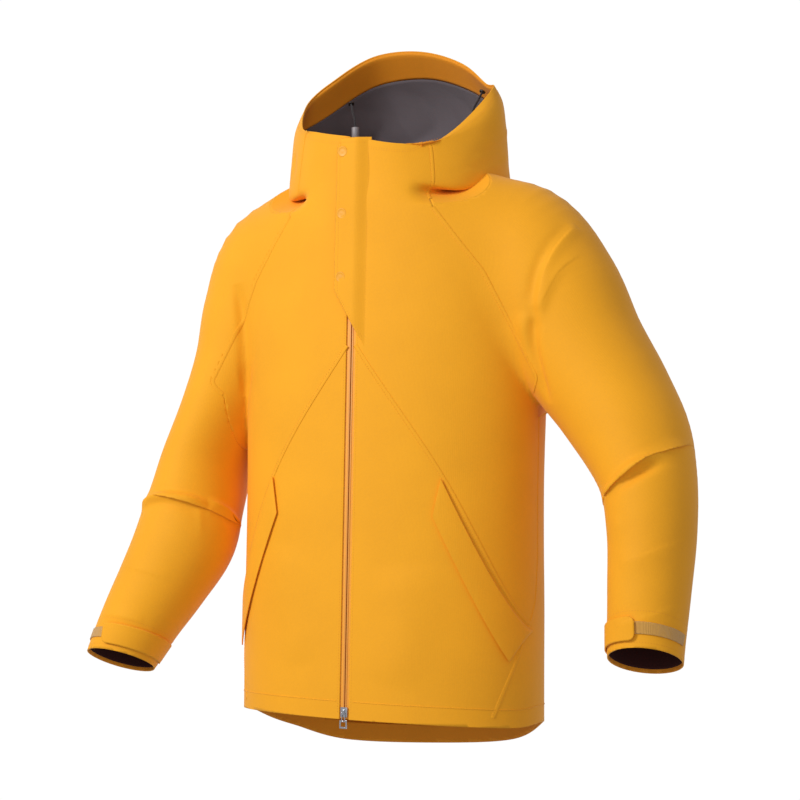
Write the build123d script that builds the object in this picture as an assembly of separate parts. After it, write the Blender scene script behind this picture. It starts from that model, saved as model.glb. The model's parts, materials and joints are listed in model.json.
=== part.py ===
from build123d import *
import math
import os

# A hardshell jacket, as it hangs on a body: arms a little out and forward, zip closed, hood half open.
# Millimetres. The origin is the middle of the neck base, the front faces -Y and the wearer's left is +X.

# Driving dimensions
CLOTH = 1.6                  # thickness of the laminated shell cloth
LINING = 1.2                 # thickness of facings, linings and tapes
LAYER_GAP = 0.4              # air between two layers of cloth
RING_POINTS = 20             # points that shape each cross-section of the body
ZIP_HEM = (-147.0, -663.0)   # y and z of the zip's line at the hem
ZIP_CHIN = (-117.0, 64.0)    # y and z of the zip's line at the chin
ZIP_HALF_GAP = 7.0           # from the zip's line to each front panel's edge
TAPE_EDGE = 15.0             # from the zip's line to the far edge of its tape
TEETH_INNER = 0.7
TEETH_OUTER = 2.6
SIDE_SEAM_X = 168.0          # where the side panels begin
SHOULDER_TOP = (226.0, 0.0)  # x and z of the shoulder joint's line
ARMPIT = (211.0, -262.0)     # x and z where the same joint plane leaves the armpit
JOINT_GAP = 0.6              # from a joint plane to the cloth on each side of it
HOOD_HINGE = (-104.0, 66.0)  # y and z of the line about which the hood is pulled up
HOOD_PLANE_SLOPE = -0.27     # fall of the hood's joint plane towards the back
FACING_DEPTH = 46.0          # depth of the facing inside the hood's rim
HEM_FACING_HEIGHT = 26.0
CUFF_FACING_LENGTH = 42.0
FLAP_WIDTH = 46.0            # storm flap, from its sewn edge to its free edge
FLAP_STANDOFF = 3.4          # from the body's surface to the back of the storm flap
SNAP_HEIGHTS = (46.0, -32.0, -112.0)
SNAP_X = -14.0
SNAP_RADIUS = 6.5
POCKET_SLOT = 16.0           # width of each pocket's opening
POCKET_DEPTH = 24.0          # from the cloth to the back of the pocket bag
CORD_DIAMETER = 3.0
CUFF_FACES = (0.06, -0.42, -0.905)   # the way the wearer's left cuff opens: down and forwards

# Cross-sections of the body: height, half width, back, squareness
BODY_SECTIONS = [
    (-790, 207, 141, 2.2),
    (-710, 207, 139, 2.2),
    (-620, 207, 137, 2.2),
    (-530, 206, 135, 2.2),
    (-440, 205, 133, 2.2),
    (-360, 205, 133, 2.2),
    (-280, 205, 135, 2.2),
    (-225, 206, 136, 2.2),
    (-170, 207, 136, 2.2),
    (-100, 207, 135, 2.1),
    (-50, 204, 130, 2.0),
    (-20, 192, 122, 1.9),
    (5, 168, 113, 1.8),
    (25, 133, 103, 1.8),
    (45, 102, 92, 1.9),
    (70, 94, 88, 2.0),
    (100, 92, 86, 2.0),
]
# The collar and hood: height, half width, back, squareness
HOOD_SECTIONS = [
    (-50, 101, 84, 2.1),
    (-10, 101, 84, 2.1),
    (28, 103, 86, 2.1),
    (44, 122, 112, 2.1),
    (58, 137, 142, 2.1),
    (80, 143, 160, 2.1),
    (108, 143, 165, 2.1),
    (136, 139, 160, 2.1),
    (160, 129, 150, 2.1),
    (182, 113, 136, 2.1),
    (202, 92, 118, 2.1),
    (218, 66, 102, 2.1),
]
# Side views of the hem, the neck seam and the hood's rim: y and z
HEM_LINE = [(-200, -658), (-147, -663), (-80, -671), (-5, -683), (60, -710), (110, -734), (141, -741), (200, -743)]
NECK_LINE = [(-200, -30), (-117, -25), (-85, -20), (-40, 12), (0, 35), (50, 50), (85, 55), (140, 58)]
RIM_LINE = [(-160, 64), (-104, 65), (-75, 75), (-35, 99), (15, 139), (60, 176), (86, 205), (96, 240), (100, 300)]

# Sleeves: middle of each section, its half depth and its half width across the arm
LEFT_SLEEVE = [
    ((120, 6, -72), 84, 92),
    ((168, 6, -86), 86, 88),
    ((210, 4, -138), 85, 86),
    ((252, 0, -205), 83, 80),
    ((298, -10, -268), 79, 73),
    ((331, -24, -322), 75, 66),
    ((348, -38, -368), 70, 58),
    ((359, -54, -425), 64, 53),
    ((364, -72, -495), 57, 49),
    ((367, -87, -570), 49, 45),
    ((368, -94, -612), 45, 43),
]
RIGHT_SLEEVE = [
    ((-120, 6, -72), 84, 92),
    ((-168, 6, -88), 86, 88),
    ((-201, 4, -145), 86, 83),
    ((-223, -2, -212), 86, 71),
    ((-248, -12, -278), 86, 58),
    ((-267, -28, -342), 84, 54),
    ((-274, -50, -400), 78, 59),
    ((-279, -70, -447), 73, 64),
    ((-295, -94, -505), 63, 59),
    ((-313, -112, -553), 56, 53),
    ((-334, -128, -605), 49, 47),
    ((-343, -135, -630), 46, 44),
]
LEFT_ELBOW = 5               # the section at which each sleeve bends
RIGHT_ELBOW = 6
LEFT_CUFF = Vector(367, -92, -575)
RIGHT_CUFF = Vector(-339, -131, -611)

ZIP_RISE = ZIP_CHIN[1] - ZIP_HEM[1]
ZIP_LENGTH = math.hypot(ZIP_CHIN[0] - ZIP_HEM[0], ZIP_RISE)
ZIP_UP = Vector(0, (ZIP_CHIN[0] - ZIP_HEM[0]) / ZIP_LENGTH, ZIP_RISE / ZIP_LENGTH)
ZIP_OUT = Vector(0, -ZIP_UP.Z, ZIP_UP.Y)
ZIP_PLANE = Plane(origin=(0, ZIP_HEM[0], ZIP_HEM[1]), x_dir=(1, 0, 0), z_dir=ZIP_OUT)


def front_y(z):
    """The body's front at height z, on the straight line of the zip."""
    return ZIP_HEM[0] + (z - ZIP_HEM[1]) * (ZIP_CHIN[0] - ZIP_HEM[0]) / ZIP_RISE


def body_ring(section, inset):
    """One closed cross-section of the body or hood, moved in by inset."""
    z, half_width, back, squareness = section
    front = front_y(z) + inset
    back = back - inset
    middle = 0.5 * (front + back)
    points = []
    for i in range(RING_POINTS):
        angle = 2 * math.pi * i / RING_POINTS
        across, along = math.cos(angle), math.sin(angle)
        x = (half_width - inset) * math.copysign(abs(across) ** (2 / squareness), across)
        depth = 0.5 * (back - front)
        y = middle + depth * math.copysign(abs(along) ** (2 / squareness), along)
        points.append((x, y, z))
    return Wire([Spline(points, periodic=True)])


def body_loft(sections, inset):
    return Solid.make_loft([body_ring(section, inset) for section in sections])


def sleeve_plane(stations, index):
    """The plane square to the sleeve at one station, with its x axis towards the back."""
    middles = [Vector(*station[0]) for station in stations]
    before = middles[max(index - 1, 0)]
    after = middles[min(index + 1, len(middles) - 1)]
    along = (after - before).normalized()
    back = Vector(0, 1, 0) - along * along.Y
    return Plane(origin=middles[index], x_dir=back, z_dir=along)


def sleeve_loft(stations, inset):
    rings = []
    for index, (middle, half_depth, half_width) in enumerate(stations):
        edge = Edge.make_ellipse(half_depth - inset, half_width - inset, sleeve_plane(stations, index))
        rings.append(Wire([edge]))
    return Solid.make_loft(rings)


def side_prism(outline, half_width=420):
    """A block across the body whose side view is the closed outline of (y, z) points."""
    face = make_face(Polyline([(0, y, z) for y, z in outline], close=True).edges())
    return extrude(face, half_width, dir=(1, 0, 0), both=True).solid()


def curved_side_prism(line, far_z, half_width=420):
    """A block across the body between a smooth (y, z) line and the height far_z."""
    curve = Spline([(0, y, z) for y, z in line])
    low = (0, line[0][0], far_z)
    high = (0, line[-1][0], far_z)
    rest = Polyline([(0, line[-1][0], line[-1][1]), high, low, (0, line[0][0], line[0][1])])
    face = make_face(curve.edges() + rest.edges())
    return extrude(face, half_width, dir=(1, 0, 0), both=True).solid()


def front_prism(outline, y_near, y_far):
    """A block through the body whose front view is the closed outline of (x, z) points."""
    face = make_face(Polyline([(x, y_near, z) for x, z in outline], close=True).edges())
    return extrude(face, y_far - y_near, dir=(0, 1, 0)).solid()


def mirrored(outline):
    return [(-x, z) for x, z in reversed(outline)]


def zip_block(x_low, x_high, low, high, inner, outer):
    """A block by the zip: across it, along it from the hem, and outwards from the body's surface."""
    block = Box(x_high - x_low, high - low, outer - inner)
    place = Pos((x_low + x_high) / 2, (low + high) / 2, (inner + outer) / 2)
    return (ZIP_PLANE.location * place * block).solid()


def along_zip(z):
    """The distance up the zip's line at height z."""
    return (z - ZIP_HEM[1]) / ZIP_UP.Z


def pieces(shape):
    """The shape as one compound of its solids, without slivers."""
    solids = [solid for solid in shape.solids() if solid.volume > 20]
    if len(solids) == 1:
        return solids[0]
    return Compound(children=solids)


def save(name, shape):
    export_step(pieces(shape), f"parts/{name}.step")


def turned_inwards(plane, side, angle):
    """A direction in a cuff's plane: 0 is the inner side of the arm, 90 the front, 180 the outer side."""
    inner_side = plane.y_dir * -side
    front = plane.x_dir * -1
    turn = math.radians(angle)
    return inner_side * math.cos(turn) + front * math.sin(turn)


def cuff_wedge(plane, side, start, end, low, high):
    """A wedge of the sleeve between two angles, and between two distances above the cuff's end."""
    steps = 5
    corners = [plane.origin - plane.z_dir * high]
    for i in range(steps):
        angle = start + (end - start) * i / (steps - 1)
        corners.append(plane.origin - plane.z_dir * high + turned_inwards(plane, side, angle) * 150)
    face = make_face(Polyline(corners, close=True).edges())
    return extrude(face, high - low, dir=plane.z_dir).solid()


def slab(plane, low, high):
    """A slab square to the sleeve, between two distances above the cuff's end."""
    block = Box(300, 300, high - low)
    return (plane.location * Pos(0, 0, -(low + high) / 2) * block).solid()


def section_at(z):
    """The body's half width, back and squareness at height z, between two sections."""
    for lower, upper in zip(BODY_SECTIONS, BODY_SECTIONS[1:]):
        if lower[0] <= z <= upper[0]:
            share = (z - lower[0]) / (upper[0] - lower[0])
            return [a + (b - a) * share for a, b in zip(lower[1:], upper[1:])]
    raise ValueError(z)


def front_surface(x, z):
    """The y of the body's front at x and z."""
    half_width, back, squareness = section_at(z)
    middle = 0.5 * (front_y(z) + back)
    depth = 0.5 * (back - front_y(z))
    return middle - depth * (1 - abs(x / half_width) ** squareness) ** (1 / squareness)


os.makedirs("parts", exist_ok=True)

# The whole garment as one skin: body and sleeves joined, the inside taken out
left_outer = sleeve_loft(LEFT_SLEEVE, 0)
left_inner = sleeve_loft(LEFT_SLEEVE, CLOTH)
right_outer = sleeve_loft(RIGHT_SLEEVE, 0)
right_inner = sleeve_loft(RIGHT_SLEEVE, CLOTH)
body_outer = body_loft(BODY_SECTIONS, 0)
body_inner = body_loft(BODY_SECTIONS, CLOTH)
outer = body_outer + left_outer + right_outer
inner = body_inner + left_inner + right_inner
skin = (outer - inner).solids().sort_by(SortBy.VOLUME)[-1]

below_hem = curved_side_prism(HEM_LINE, -900)
above_neck = curved_side_prism(NECK_LINE, 400)
above_rim = curved_side_prism(RIM_LINE, 500)
front_half = side_prism([(-400, -900), (0, -900), (0, 500), (-400, 500)])

left_joint = Plane(origin=(SHOULDER_TOP[0], 0, SHOULDER_TOP[1]), x_dir=(0, 1, 0),
                   z_dir=(SHOULDER_TOP[1] - ARMPIT[1], 0, ARMPIT[0] - SHOULDER_TOP[0]))
right_joint = Plane(origin=(-SHOULDER_TOP[0], 0, SHOULDER_TOP[1]), x_dir=(0, 1, 0),
                    z_dir=(ARMPIT[1] - SHOULDER_TOP[1], 0, ARMPIT[0] - SHOULDER_TOP[0]))


def on_side(outline, side):
    """An outline drawn for the left side, turned over when it is for the right."""
    return outline if side > 0 else mirrored(outline)


def one_shape(found):
    """A cut's result as one shape, whether it came as one solid or several."""
    if isinstance(found, list):
        return Compound(children=[solid for part in found for solid in part.solids()])
    return found


def keep_inside(shape, plane, gap):
    return one_shape(shape.split(plane.offset(-gap), keep=Keep.BOTTOM))


def keep_outside(shape, plane, gap):
    return one_shape(shape.split(plane.offset(gap), keep=Keep.TOP))


# Sleeves: cut off at the shoulder, the elbow and the cuff
SIDES = [
    ("left", 1, LEFT_SLEEVE, LEFT_ELBOW, LEFT_CUFF, left_joint),
    ("right", -1, RIGHT_SLEEVE, RIGHT_ELBOW, RIGHT_CUFF, right_joint),
]
for name, side, stations, elbow, cuff, joint in SIDES:
    sleeve = keep_outside(skin, joint, JOINT_GAP)
    sleeve = sleeve.solids().sort_by(SortBy.VOLUME)[-1]
    elbow_plane = sleeve_plane(stations, elbow)
    cuff_down = Vector(CUFF_FACES[0] * side, CUFF_FACES[1], CUFF_FACES[2]).normalized()
    cuff_back = Vector(0, 1, 0) - cuff_down * cuff_down.Y
    cuff_plane = Plane(origin=cuff, x_dir=cuff_back, z_dir=cuff_down)
    save(f"{name}_upper_sleeve", keep_inside(sleeve, elbow_plane, JOINT_GAP))
    forearm = keep_outside(sleeve, elbow_plane, JOINT_GAP)
    save(f"{name}_lower_sleeve", keep_inside(forearm, cuff_plane, 0))

    layers = [CLOTH + LAYER_GAP, CLOTH + LAYER_GAP + LINING]
    facing = sleeve_loft(stations, layers[0]) - sleeve_loft(stations, layers[1])
    save(f"{name}_cuff_facing", facing & slab(cuff_plane, 0.2, CUFF_FACING_LENGTH))
    near_skin = sleeve_loft(stations, -0.4)
    strip = (sleeve_loft(stations, -1.6) - near_skin) & cuff_wedge(cuff_plane, side, 62, 172, 15, 28)
    save(f"{name}_loop_strip", strip)
    patch = (sleeve_loft(stations, -2.6) - sleeve_loft(stations, -1.9))
    save(f"{name}_hook_patch", patch & cuff_wedge(cuff_plane, side, 62, 90, 15, 28))
    tab = (sleeve_loft(stations, -4.2) - sleeve_loft(stations, -2.6))
    save(f"{name}_cuff_tab", tab & cuff_wedge(cuff_plane, side, -30, 95, 8, 34))

# Body panels
body = keep_inside(keep_inside(skin, left_joint, JOINT_GAP), right_joint, JOINT_GAP)
body = body.solids().sort_by(SortBy.VOLUME)[-1]
body = body - below_hem - above_neck
body = body - zip_block(-ZIP_HALF_GAP, ZIP_HALF_GAP, -40, along_zip(120), -30, 30)
body = body - zip_block(-TAPE_EDGE - 0.4, TAPE_EDGE + 0.4, -40, along_zip(120), -8, -1.75)

LOWER_FRONT = [(0, -190), (118, -361), (206, -555), (240, -630), (240, -900), (0, -900)]
SHOULDER_PANEL = [(99, 80), (99, -24), (162, -108), (240, -270), (300, -270), (300, 80)]
SIDE_PANEL = [(SIDE_SEAM_X, -900), (SIDE_SEAM_X, -262), (300, -262), (300, -900)]
POCKET_FLAP = [(118, -364), (205, -556), (190, -590), (109, -410)]
POCKET_BAG = [(60, -332), (118, -378), (184, -520), (186, -610), (60, -610)]
POCKET_BAG_INSIDE = [(61.2, -335), (117, -380), (182.8, -521), (184.8, -608.8), (61.2, -608.8)]
POCKET_ENDS = [(126, -402), (172, -508)]

front_body = body & front_half
back_body = body - front_half
pocket_tapes = []
pocket_coils = []
pocket_bags = []
for name, side in (("left", 1), ("right", -1)):
    lower = front_prism(on_side(LOWER_FRONT, side), -300, 0)
    shoulder = front_prism(on_side(SHOULDER_PANEL, side), -300, 300)
    side_block = front_prism(on_side(SIDE_PANEL, side), -40, 300)
    half = front_prism(on_side([(0, 120), (0, -900), (400, -900), (400, 120)], side), -300, 300)
    side_front = front_body & half

    # The pocket's opening is a straight slot just under the diagonal seam
    ends = []
    for x, z in POCKET_ENDS:
        ends.append(Vector(x * side, front_surface(x, z) + 7.0, z))
    along = (ends[0] - ends[1]).normalized()
    middle = (ends[0] + ends[1]) * 0.5
    outward = Vector(0.55 * side, -0.83, 0)
    outward = (outward - along * outward.dot(along)).normalized()
    pocket_plane = Plane(origin=middle, x_dir=along, z_dir=outward)
    pocket_length = (ends[0] - ends[1]).length
    slot = (pocket_plane.location * Box(pocket_length, POCKET_SLOT, 60)).solid()

    lower_front = (side_front & lower) - side_block - slot
    save(f"{name}_front_panel", lower_front)
    chest = side_front - lower - shoulder - side_block
    save(f"{name}_chest_panel", chest)
    save(f"{name}_side_panel", body & side_block)
    shoulder_panel = body & shoulder & half
    save(f"{name}_shoulder_panel", shoulder_panel)
    back_body = back_body - shoulder - side_block

    zip_place = pocket_plane.location
    for row in (-1, 1):
        pocket_tapes.append((zip_place * Pos(0, row * 5.2, 0) * Box(pocket_length - 0.6, 4.8, 1.0)).solid())
        pocket_coils.append((zip_place * Pos(0, row * 1.6, 0) * Box(pocket_length - 6, 1.8, 2.2)).solid())

    low_end = -pocket_length / 2 + 18
    plates = zip_place * Pos(low_end, 0, 2.2) * Box(9, 7, 1.2)
    back_plate = zip_place * Pos(low_end, 0, -2.2) * Box(9, 7, 1.2)
    post = zip_place * Pos(low_end + 3.6, 0, 0) * Box(1.4, 0.7, 3.4)
    slider = (plates + back_plate + post).solid()
    bridge = zip_place * Pos(low_end, 0, 3.5) * Box(5, 1.6, 1.6)
    hole = zip_place * Pos(low_end, 0, 3.7) * Rot(90, 0, 0) * Cylinder(0.55, 10)
    save(f"{name}_pocket_slider", (slider + bridge - hole).solid())
    pin = zip_place * Pos(low_end, 0, 3.7) * Rot(90, 0, 0) * Cylinder(0.35, 4.4)
    arms = []
    for row in (-1, 1):
        arms.append(zip_place * Pos(low_end - 3.5, row * 1.8, 3.7) * Box(8.6, 0.8, 0.9))
    grip = zip_place * Pos(low_end - 11.5, 0, 3.7) * Box(9, 4.4, 0.9)
    save(f"{name}_pocket_pull", (pin + arms[0] + arms[1] + grip).solid())

    flap_skin = body_loft(BODY_SECTIONS, -2.6) - body_loft(BODY_SECTIONS, -0.9)
    save(f"{name}_pocket_flap", flap_skin & front_prism(on_side(POCKET_FLAP, side), -300, 0))

    bag_out = front_prism(on_side(POCKET_BAG, side), -300, 0)
    bag_in = front_prism(on_side(POCKET_BAG_INSIDE, side), -300, 0)
    bag = (body_loft(BODY_SECTIONS, CLOTH + LAYER_GAP) - body_loft(BODY_SECTIONS, POCKET_DEPTH)) & bag_out
    hollow = (body_loft(BODY_SECTIONS, -2) - body_loft(BODY_SECTIONS, POCKET_DEPTH - LINING)) & bag_in
    zip_space = zip_place * Pos(0, 0, 25.5) * Box(pocket_length + 0.6, POCKET_SLOT + 0.6, 60)
    pocket_bags.append((bag - hollow - zip_space).solids().sort_by(SortBy.VOLUME)[-1])

save("back_panel", back_body)
save("pocket_zip_tapes", Compound(children=pocket_tapes))
save("pocket_zip_coils", Compound(children=pocket_coils))
save("pocket_bags", Compound(children=pocket_bags))

# Inside the hem
hem_skin = body_loft(BODY_SECTIONS, CLOTH + LAYER_GAP) - body_loft(BODY_SECTIONS, CLOTH + LAYER_GAP + LINING)
HEM_TOP = [(y, z + HEM_FACING_HEIGHT) for y, z in HEM_LINE]
hem_facing = (hem_skin & curved_side_prism(HEM_TOP, -900)) - below_hem
save("hem_facing", hem_facing - zip_block(-TAPE_EDGE - 1, TAPE_EDGE + 1, -40, 200, -30, 30))

# Front zip
zip_low = 1.0
zip_high = along_zip(ZIP_CHIN[1]) - 3
save("zip_tapes", Compound(children=[
    zip_block(TEETH_OUTER, TAPE_EDGE, zip_low, zip_high, -2.9, -1.9),
    zip_block(-TAPE_EDGE, -TEETH_OUTER, zip_low, zip_high, -2.9, -1.9)]))
save("zip_teeth", Compound(children=[
    zip_block(TEETH_INNER, TEETH_OUTER, zip_low, zip_high - 2, -3.6, -1.2),
    zip_block(-TEETH_OUTER, -TEETH_INNER, zip_low, zip_high - 2, -3.6, -1.2)]))
save("wind_flap", zip_block(-18, 24, 8, zip_high - 8, -10, -8.8))


def zip_slider(place):
    """A slider at the distance place up the zip, its post between the rows of teeth."""
    front_plate = zip_block(-4.6, 4.6, place - 6, place + 6, -0.8, 0.8)
    back_plate = zip_block(-4.6, 4.6, place - 6, place + 6, -5.2, -4.0)
    post = zip_block(-0.4, 0.4, place + 3.5, place + 5.5, -4.2, -0.6)
    bridge = zip_block(-1.2, 1.2, place - 3, place + 3, 0.6, 3.0)
    hole = ZIP_PLANE.location * Pos(0, place, 1.8) * Rot(0, 90, 0) * Cylinder(0.85, 20)
    return (front_plate + post + back_plate + bridge - hole).solid()


def slider_pull(place):
    """A loop that hangs from the slider's bridge by a round bar."""
    bar = ZIP_PLANE.location * Pos(0, place, 1.8) * Rot(0, 90, 0) * Cylinder(0.55, 5.4)
    arms = zip_block(1.6, 2.7, place - 12, place + 0.6, 1.2, 2.4) + zip_block(-2.7, -1.6, place - 12, place + 0.6, 1.2, 2.4)
    loop = zip_block(-5, 5, place - 20, place - 10, 1.2, 2.4) - zip_block(-3.4, 3.4, place - 17.8, place - 12, 0, 4)
    return (bar + arms + loop).solid()


BOTTOM_SLIDER = 9.0
TOP_SLIDER = zip_high - 16
save("bottom_slider", zip_slider(BOTTOM_SLIDER))
save("bottom_slider_pull", slider_pull(BOTTOM_SLIDER))
save("top_slider", zip_slider(TOP_SLIDER))
save("top_slider_pull", slider_pull(TOP_SLIDER))

# Storm flap over the top of the zip, with its press studs
FLAP_HINGE_X = 23.0
flap_top = along_zip(ZIP_CHIN[1]) - 1
flap_free = FLAP_HINGE_X - FLAP_WIDTH
flap_outline = [
    (FLAP_HINGE_X - 0.5, flap_top),
    (FLAP_HINGE_X - 0.5, along_zip(-206)),
    (flap_free, along_zip(-128)),
    (flap_free, flap_top - 8),
    (flap_free + 6, flap_top - 8),
    (flap_free + 6, flap_top),
]
flap_face = make_face(Polyline([(x, t, FLAP_STANDOFF) for x, t in flap_outline], close=True).edges())
flap = ZIP_PLANE.location * extrude(flap_face, CLOTH + 0.2, dir=(0, 0, 1))
save("storm_flap", flap.solid())
save("storm_flap_seam", zip_block(FLAP_HINGE_X + 0.2, FLAP_HINGE_X + 3.5, along_zip(-206), flap_top, 1.0, 5.2))


def press_discs(radius, inner, outer):
    discs = []
    for z in SNAP_HEIGHTS:
        disc = ZIP_PLANE.location * Pos(SNAP_X, along_zip(z), (inner + outer) / 2) * Cylinder(radius, outer - inner)
        discs.append(disc.solid())
    return discs


studs = [base + post for base, post in zip(press_discs(4.6, 0.4, 1.4), press_discs(2.2, 1.4, 2.5))]
save("snap_studs", Compound(children=[stud.solid() for stud in studs]))
flap_front = FLAP_STANDOFF + CLOTH + 0.2
sockets = press_discs(4.8, FLAP_STANDOFF - 0.6, FLAP_STANDOFF)
save("snap_caps", Compound(children=sockets + press_discs(SNAP_RADIUS, flap_front, flap_front + 1.4)))

# Collar and hood
hood_skin = body_loft(HOOD_SECTIONS, 0) - body_loft(HOOD_SECTIONS, CLOTH)
hood_lining_skin = body_loft(HOOD_SECTIONS, CLOTH + LAYER_GAP) - body_loft(HOOD_SECTIONS, CLOTH + LAYER_GAP + LINING)
below_neck = curved_side_prism([(y, z + 0.3) for y, z in NECK_LINE], -300)
hood_joint = Plane(origin=(0, HOOD_HINGE[0], HOOD_HINGE[1]), x_dir=(1, 0, 0), z_dir=(0, -HOOD_PLANE_SLOPE, 1))
hood_skin = hood_skin - below_neck - above_rim
collar = keep_inside(hood_skin, hood_joint, JOINT_GAP)
collar = collar - zip_block(-ZIP_HALF_GAP, ZIP_HALF_GAP, 0, 900, -30, 30)
collar = collar - zip_block(-TAPE_EDGE - 0.4, TAPE_EDGE + 0.4, 0, 900, -8, -1.75)
for name, side in (("left", 1), ("right", -1)):
    outline = [(0, -100), (0, 200), (300, 200), (300, -100)]
    side_block = front_prism(on_side(outline, side), -300, 300)
    save(f"{name}_collar", collar & side_block)
hood = keep_outside(hood_skin, hood_joint, JOINT_GAP)
CENTRE_PANEL = [(-62, -100), (-62, 400), (62, 400), (62, -100)]
centre_block = front_prism(CENTRE_PANEL, -300, 300)
save("hood_centre_panel", hood & centre_block)
for name, side in (("left", 1), ("right", -1)):
    outline = [(62, -100), (62, 400), (400, 400), (400, -100)]
    side_block = front_prism(on_side(outline, side), -300, 300)
    save(f"hood_{name}_panel", hood & side_block)

lining = hood_lining_skin - below_neck - above_rim
collar_lining = keep_inside(lining, hood_joint, JOINT_GAP)
save("collar_lining", collar_lining - zip_block(-TAPE_EDGE - 1, TAPE_EDGE + 1, 0, 900, -7, 30))
hood_lining = keep_outside(lining, hood_joint, JOINT_GAP)
facing_line = [(y + 0.55 * FACING_DEPTH, z - 0.83 * FACING_DEPTH) for y, z in RIM_LINE]
inside_facing = curved_side_prism(facing_line, 500)
save("hood_facing", hood_lining & inside_facing)
save("hood_lining", hood_lining - inside_facing)

# Hang loop at the back of the neck, between two sewn ends
loop_path = FilletPolyline((-30, 74, 36), (-22, 66, 14), (22, 66, 14), (30, 74, 36), radius=10)
loop_start = Plane(origin=loop_path @ 0, x_dir=(0, 1, 0), z_dir=loop_path % 0)
save("hang_loop", sweep(loop_start * Rectangle(1.4, 6), path=loop_path))

# Hood adjusters: an elastic cord hangs from an eyelet inside each side, with a cord lock at its end
CORD_ROUTE = [(98, 70, 148), (94, 65, 136), (88, 61, 124), (86, 59, 112)]
eyelets = []
for name, side in (("left", 1), ("right", -1)):
    route = [Vector(x * side, y, z) for x, y, z in CORD_ROUTE]
    radii = []
    for before, here, after in zip(route, route[1:], route[2:]):
        turn = math.radians((here - before).get_angle(after - here))
        radii.append(0.45 * min((here - before).length, (after - here).length) / math.tan(turn / 2))
    path = FilletPolyline(*route, radius=radii)
    start = Plane(origin=path @ 0, z_dir=path % 0)
    cord = sweep(start * Circle(CORD_DIAMETER / 2), path=path)
    save(f"{name}_hood_cord", cord)
    lock = Plane(origin=path @ 1 - Vector(0, 0, 0.5), z_dir=(0, 0, -1)).location
    barrel = lock * Pos(0, 0, 7) * Cylinder(5.2, 14) - lock * Pos(0, 0, 10) * Cylinder(3.9, 10)
    save(f"{name}_cord_lock", barrel.solid())
    button = lock * Pos(0, 0, 15.5) * Cylinder(3.5, 9)
    save(f"{name}_cord_lock_button", button.solid())
    spring = lock * Pos(0, 0, 7.9) * Cylinder(3.2, 5.6) - lock * Pos(0, 0, 8) * Cylinder(2.2, 8)
    save(f"{name}_cord_lock_spring", spring.solid())
    eyelet = Plane(origin=route[0], z_dir=path % 0).location
    eyelets.append((eyelet * Pos(0, 0, 1.2) * (Cylinder(4.2, 2) - Cylinder(1.8, 4))).solid())

save("hood_eyelets", Compound(children=eyelets))
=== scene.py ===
import json
import math
from contextlib import contextmanager

import bmesh
import bpy
import numpy as np
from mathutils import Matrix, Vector
from mathutils.bvhtree import BVHTree

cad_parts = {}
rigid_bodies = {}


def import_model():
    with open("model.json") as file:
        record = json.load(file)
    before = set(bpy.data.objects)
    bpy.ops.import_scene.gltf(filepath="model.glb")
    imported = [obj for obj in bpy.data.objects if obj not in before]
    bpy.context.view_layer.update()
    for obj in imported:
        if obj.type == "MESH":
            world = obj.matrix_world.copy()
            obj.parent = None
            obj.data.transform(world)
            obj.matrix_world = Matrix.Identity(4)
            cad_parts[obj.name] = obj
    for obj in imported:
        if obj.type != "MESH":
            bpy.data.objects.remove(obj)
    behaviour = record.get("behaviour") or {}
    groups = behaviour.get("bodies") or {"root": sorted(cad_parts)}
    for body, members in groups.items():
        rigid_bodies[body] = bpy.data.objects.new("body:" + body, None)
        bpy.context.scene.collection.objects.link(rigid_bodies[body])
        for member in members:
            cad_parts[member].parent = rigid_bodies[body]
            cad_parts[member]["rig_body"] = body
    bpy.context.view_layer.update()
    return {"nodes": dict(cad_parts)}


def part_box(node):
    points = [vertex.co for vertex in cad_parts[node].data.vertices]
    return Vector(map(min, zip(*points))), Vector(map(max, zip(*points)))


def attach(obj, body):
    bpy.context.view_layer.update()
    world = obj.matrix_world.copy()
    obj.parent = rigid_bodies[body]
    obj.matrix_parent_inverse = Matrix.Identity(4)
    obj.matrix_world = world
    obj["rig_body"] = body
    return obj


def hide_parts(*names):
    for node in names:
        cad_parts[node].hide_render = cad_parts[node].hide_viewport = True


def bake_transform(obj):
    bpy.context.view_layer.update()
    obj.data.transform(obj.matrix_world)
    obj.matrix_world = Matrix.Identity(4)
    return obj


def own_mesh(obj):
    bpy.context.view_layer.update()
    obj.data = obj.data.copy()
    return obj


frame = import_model()

MM = 0.001
LEFT, RIGHT = 1, -1
NAMES = {LEFT: "left", RIGHT: "right"}
SHELL_THICKNESS = 1.4
LINING_THICKNESS = 0.8
NARROW_FOLD = 12
# Half the width of the front opening behind the zip, and a height below all of the jacket
FRONT_GAP = 6.5
BELOW_HEM = -800
VIEW_AZIMUTH = math.radians(25)
VIEW_HEIGHT = -0.304

# Lengths in the tables and functions are millimetres, in the frame's own axes.
# The body's cross-sections: height, half width, back, squareness
BODY = [
    (-790, 205, 134, 2.15), (-710, 205, 133, 2.15), (-620, 205, 131, 2.15), (-530, 205, 130, 2.15),
    (-440, 204, 129, 2.15), (-360, 204, 129, 2.15), (-280, 205, 132, 2.2), (-225, 206, 134, 2.2),
    (-170, 207, 136, 2.2), (-100, 207, 135, 2.1), (-50, 204, 130, 2.0), (-20, 192, 122, 1.9),
    (5, 168, 113, 1.8), (25, 133, 103, 1.8), (45, 102, 92, 1.9), (70, 94, 88, 2.0), (100, 92, 86, 2.0),
]
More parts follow.
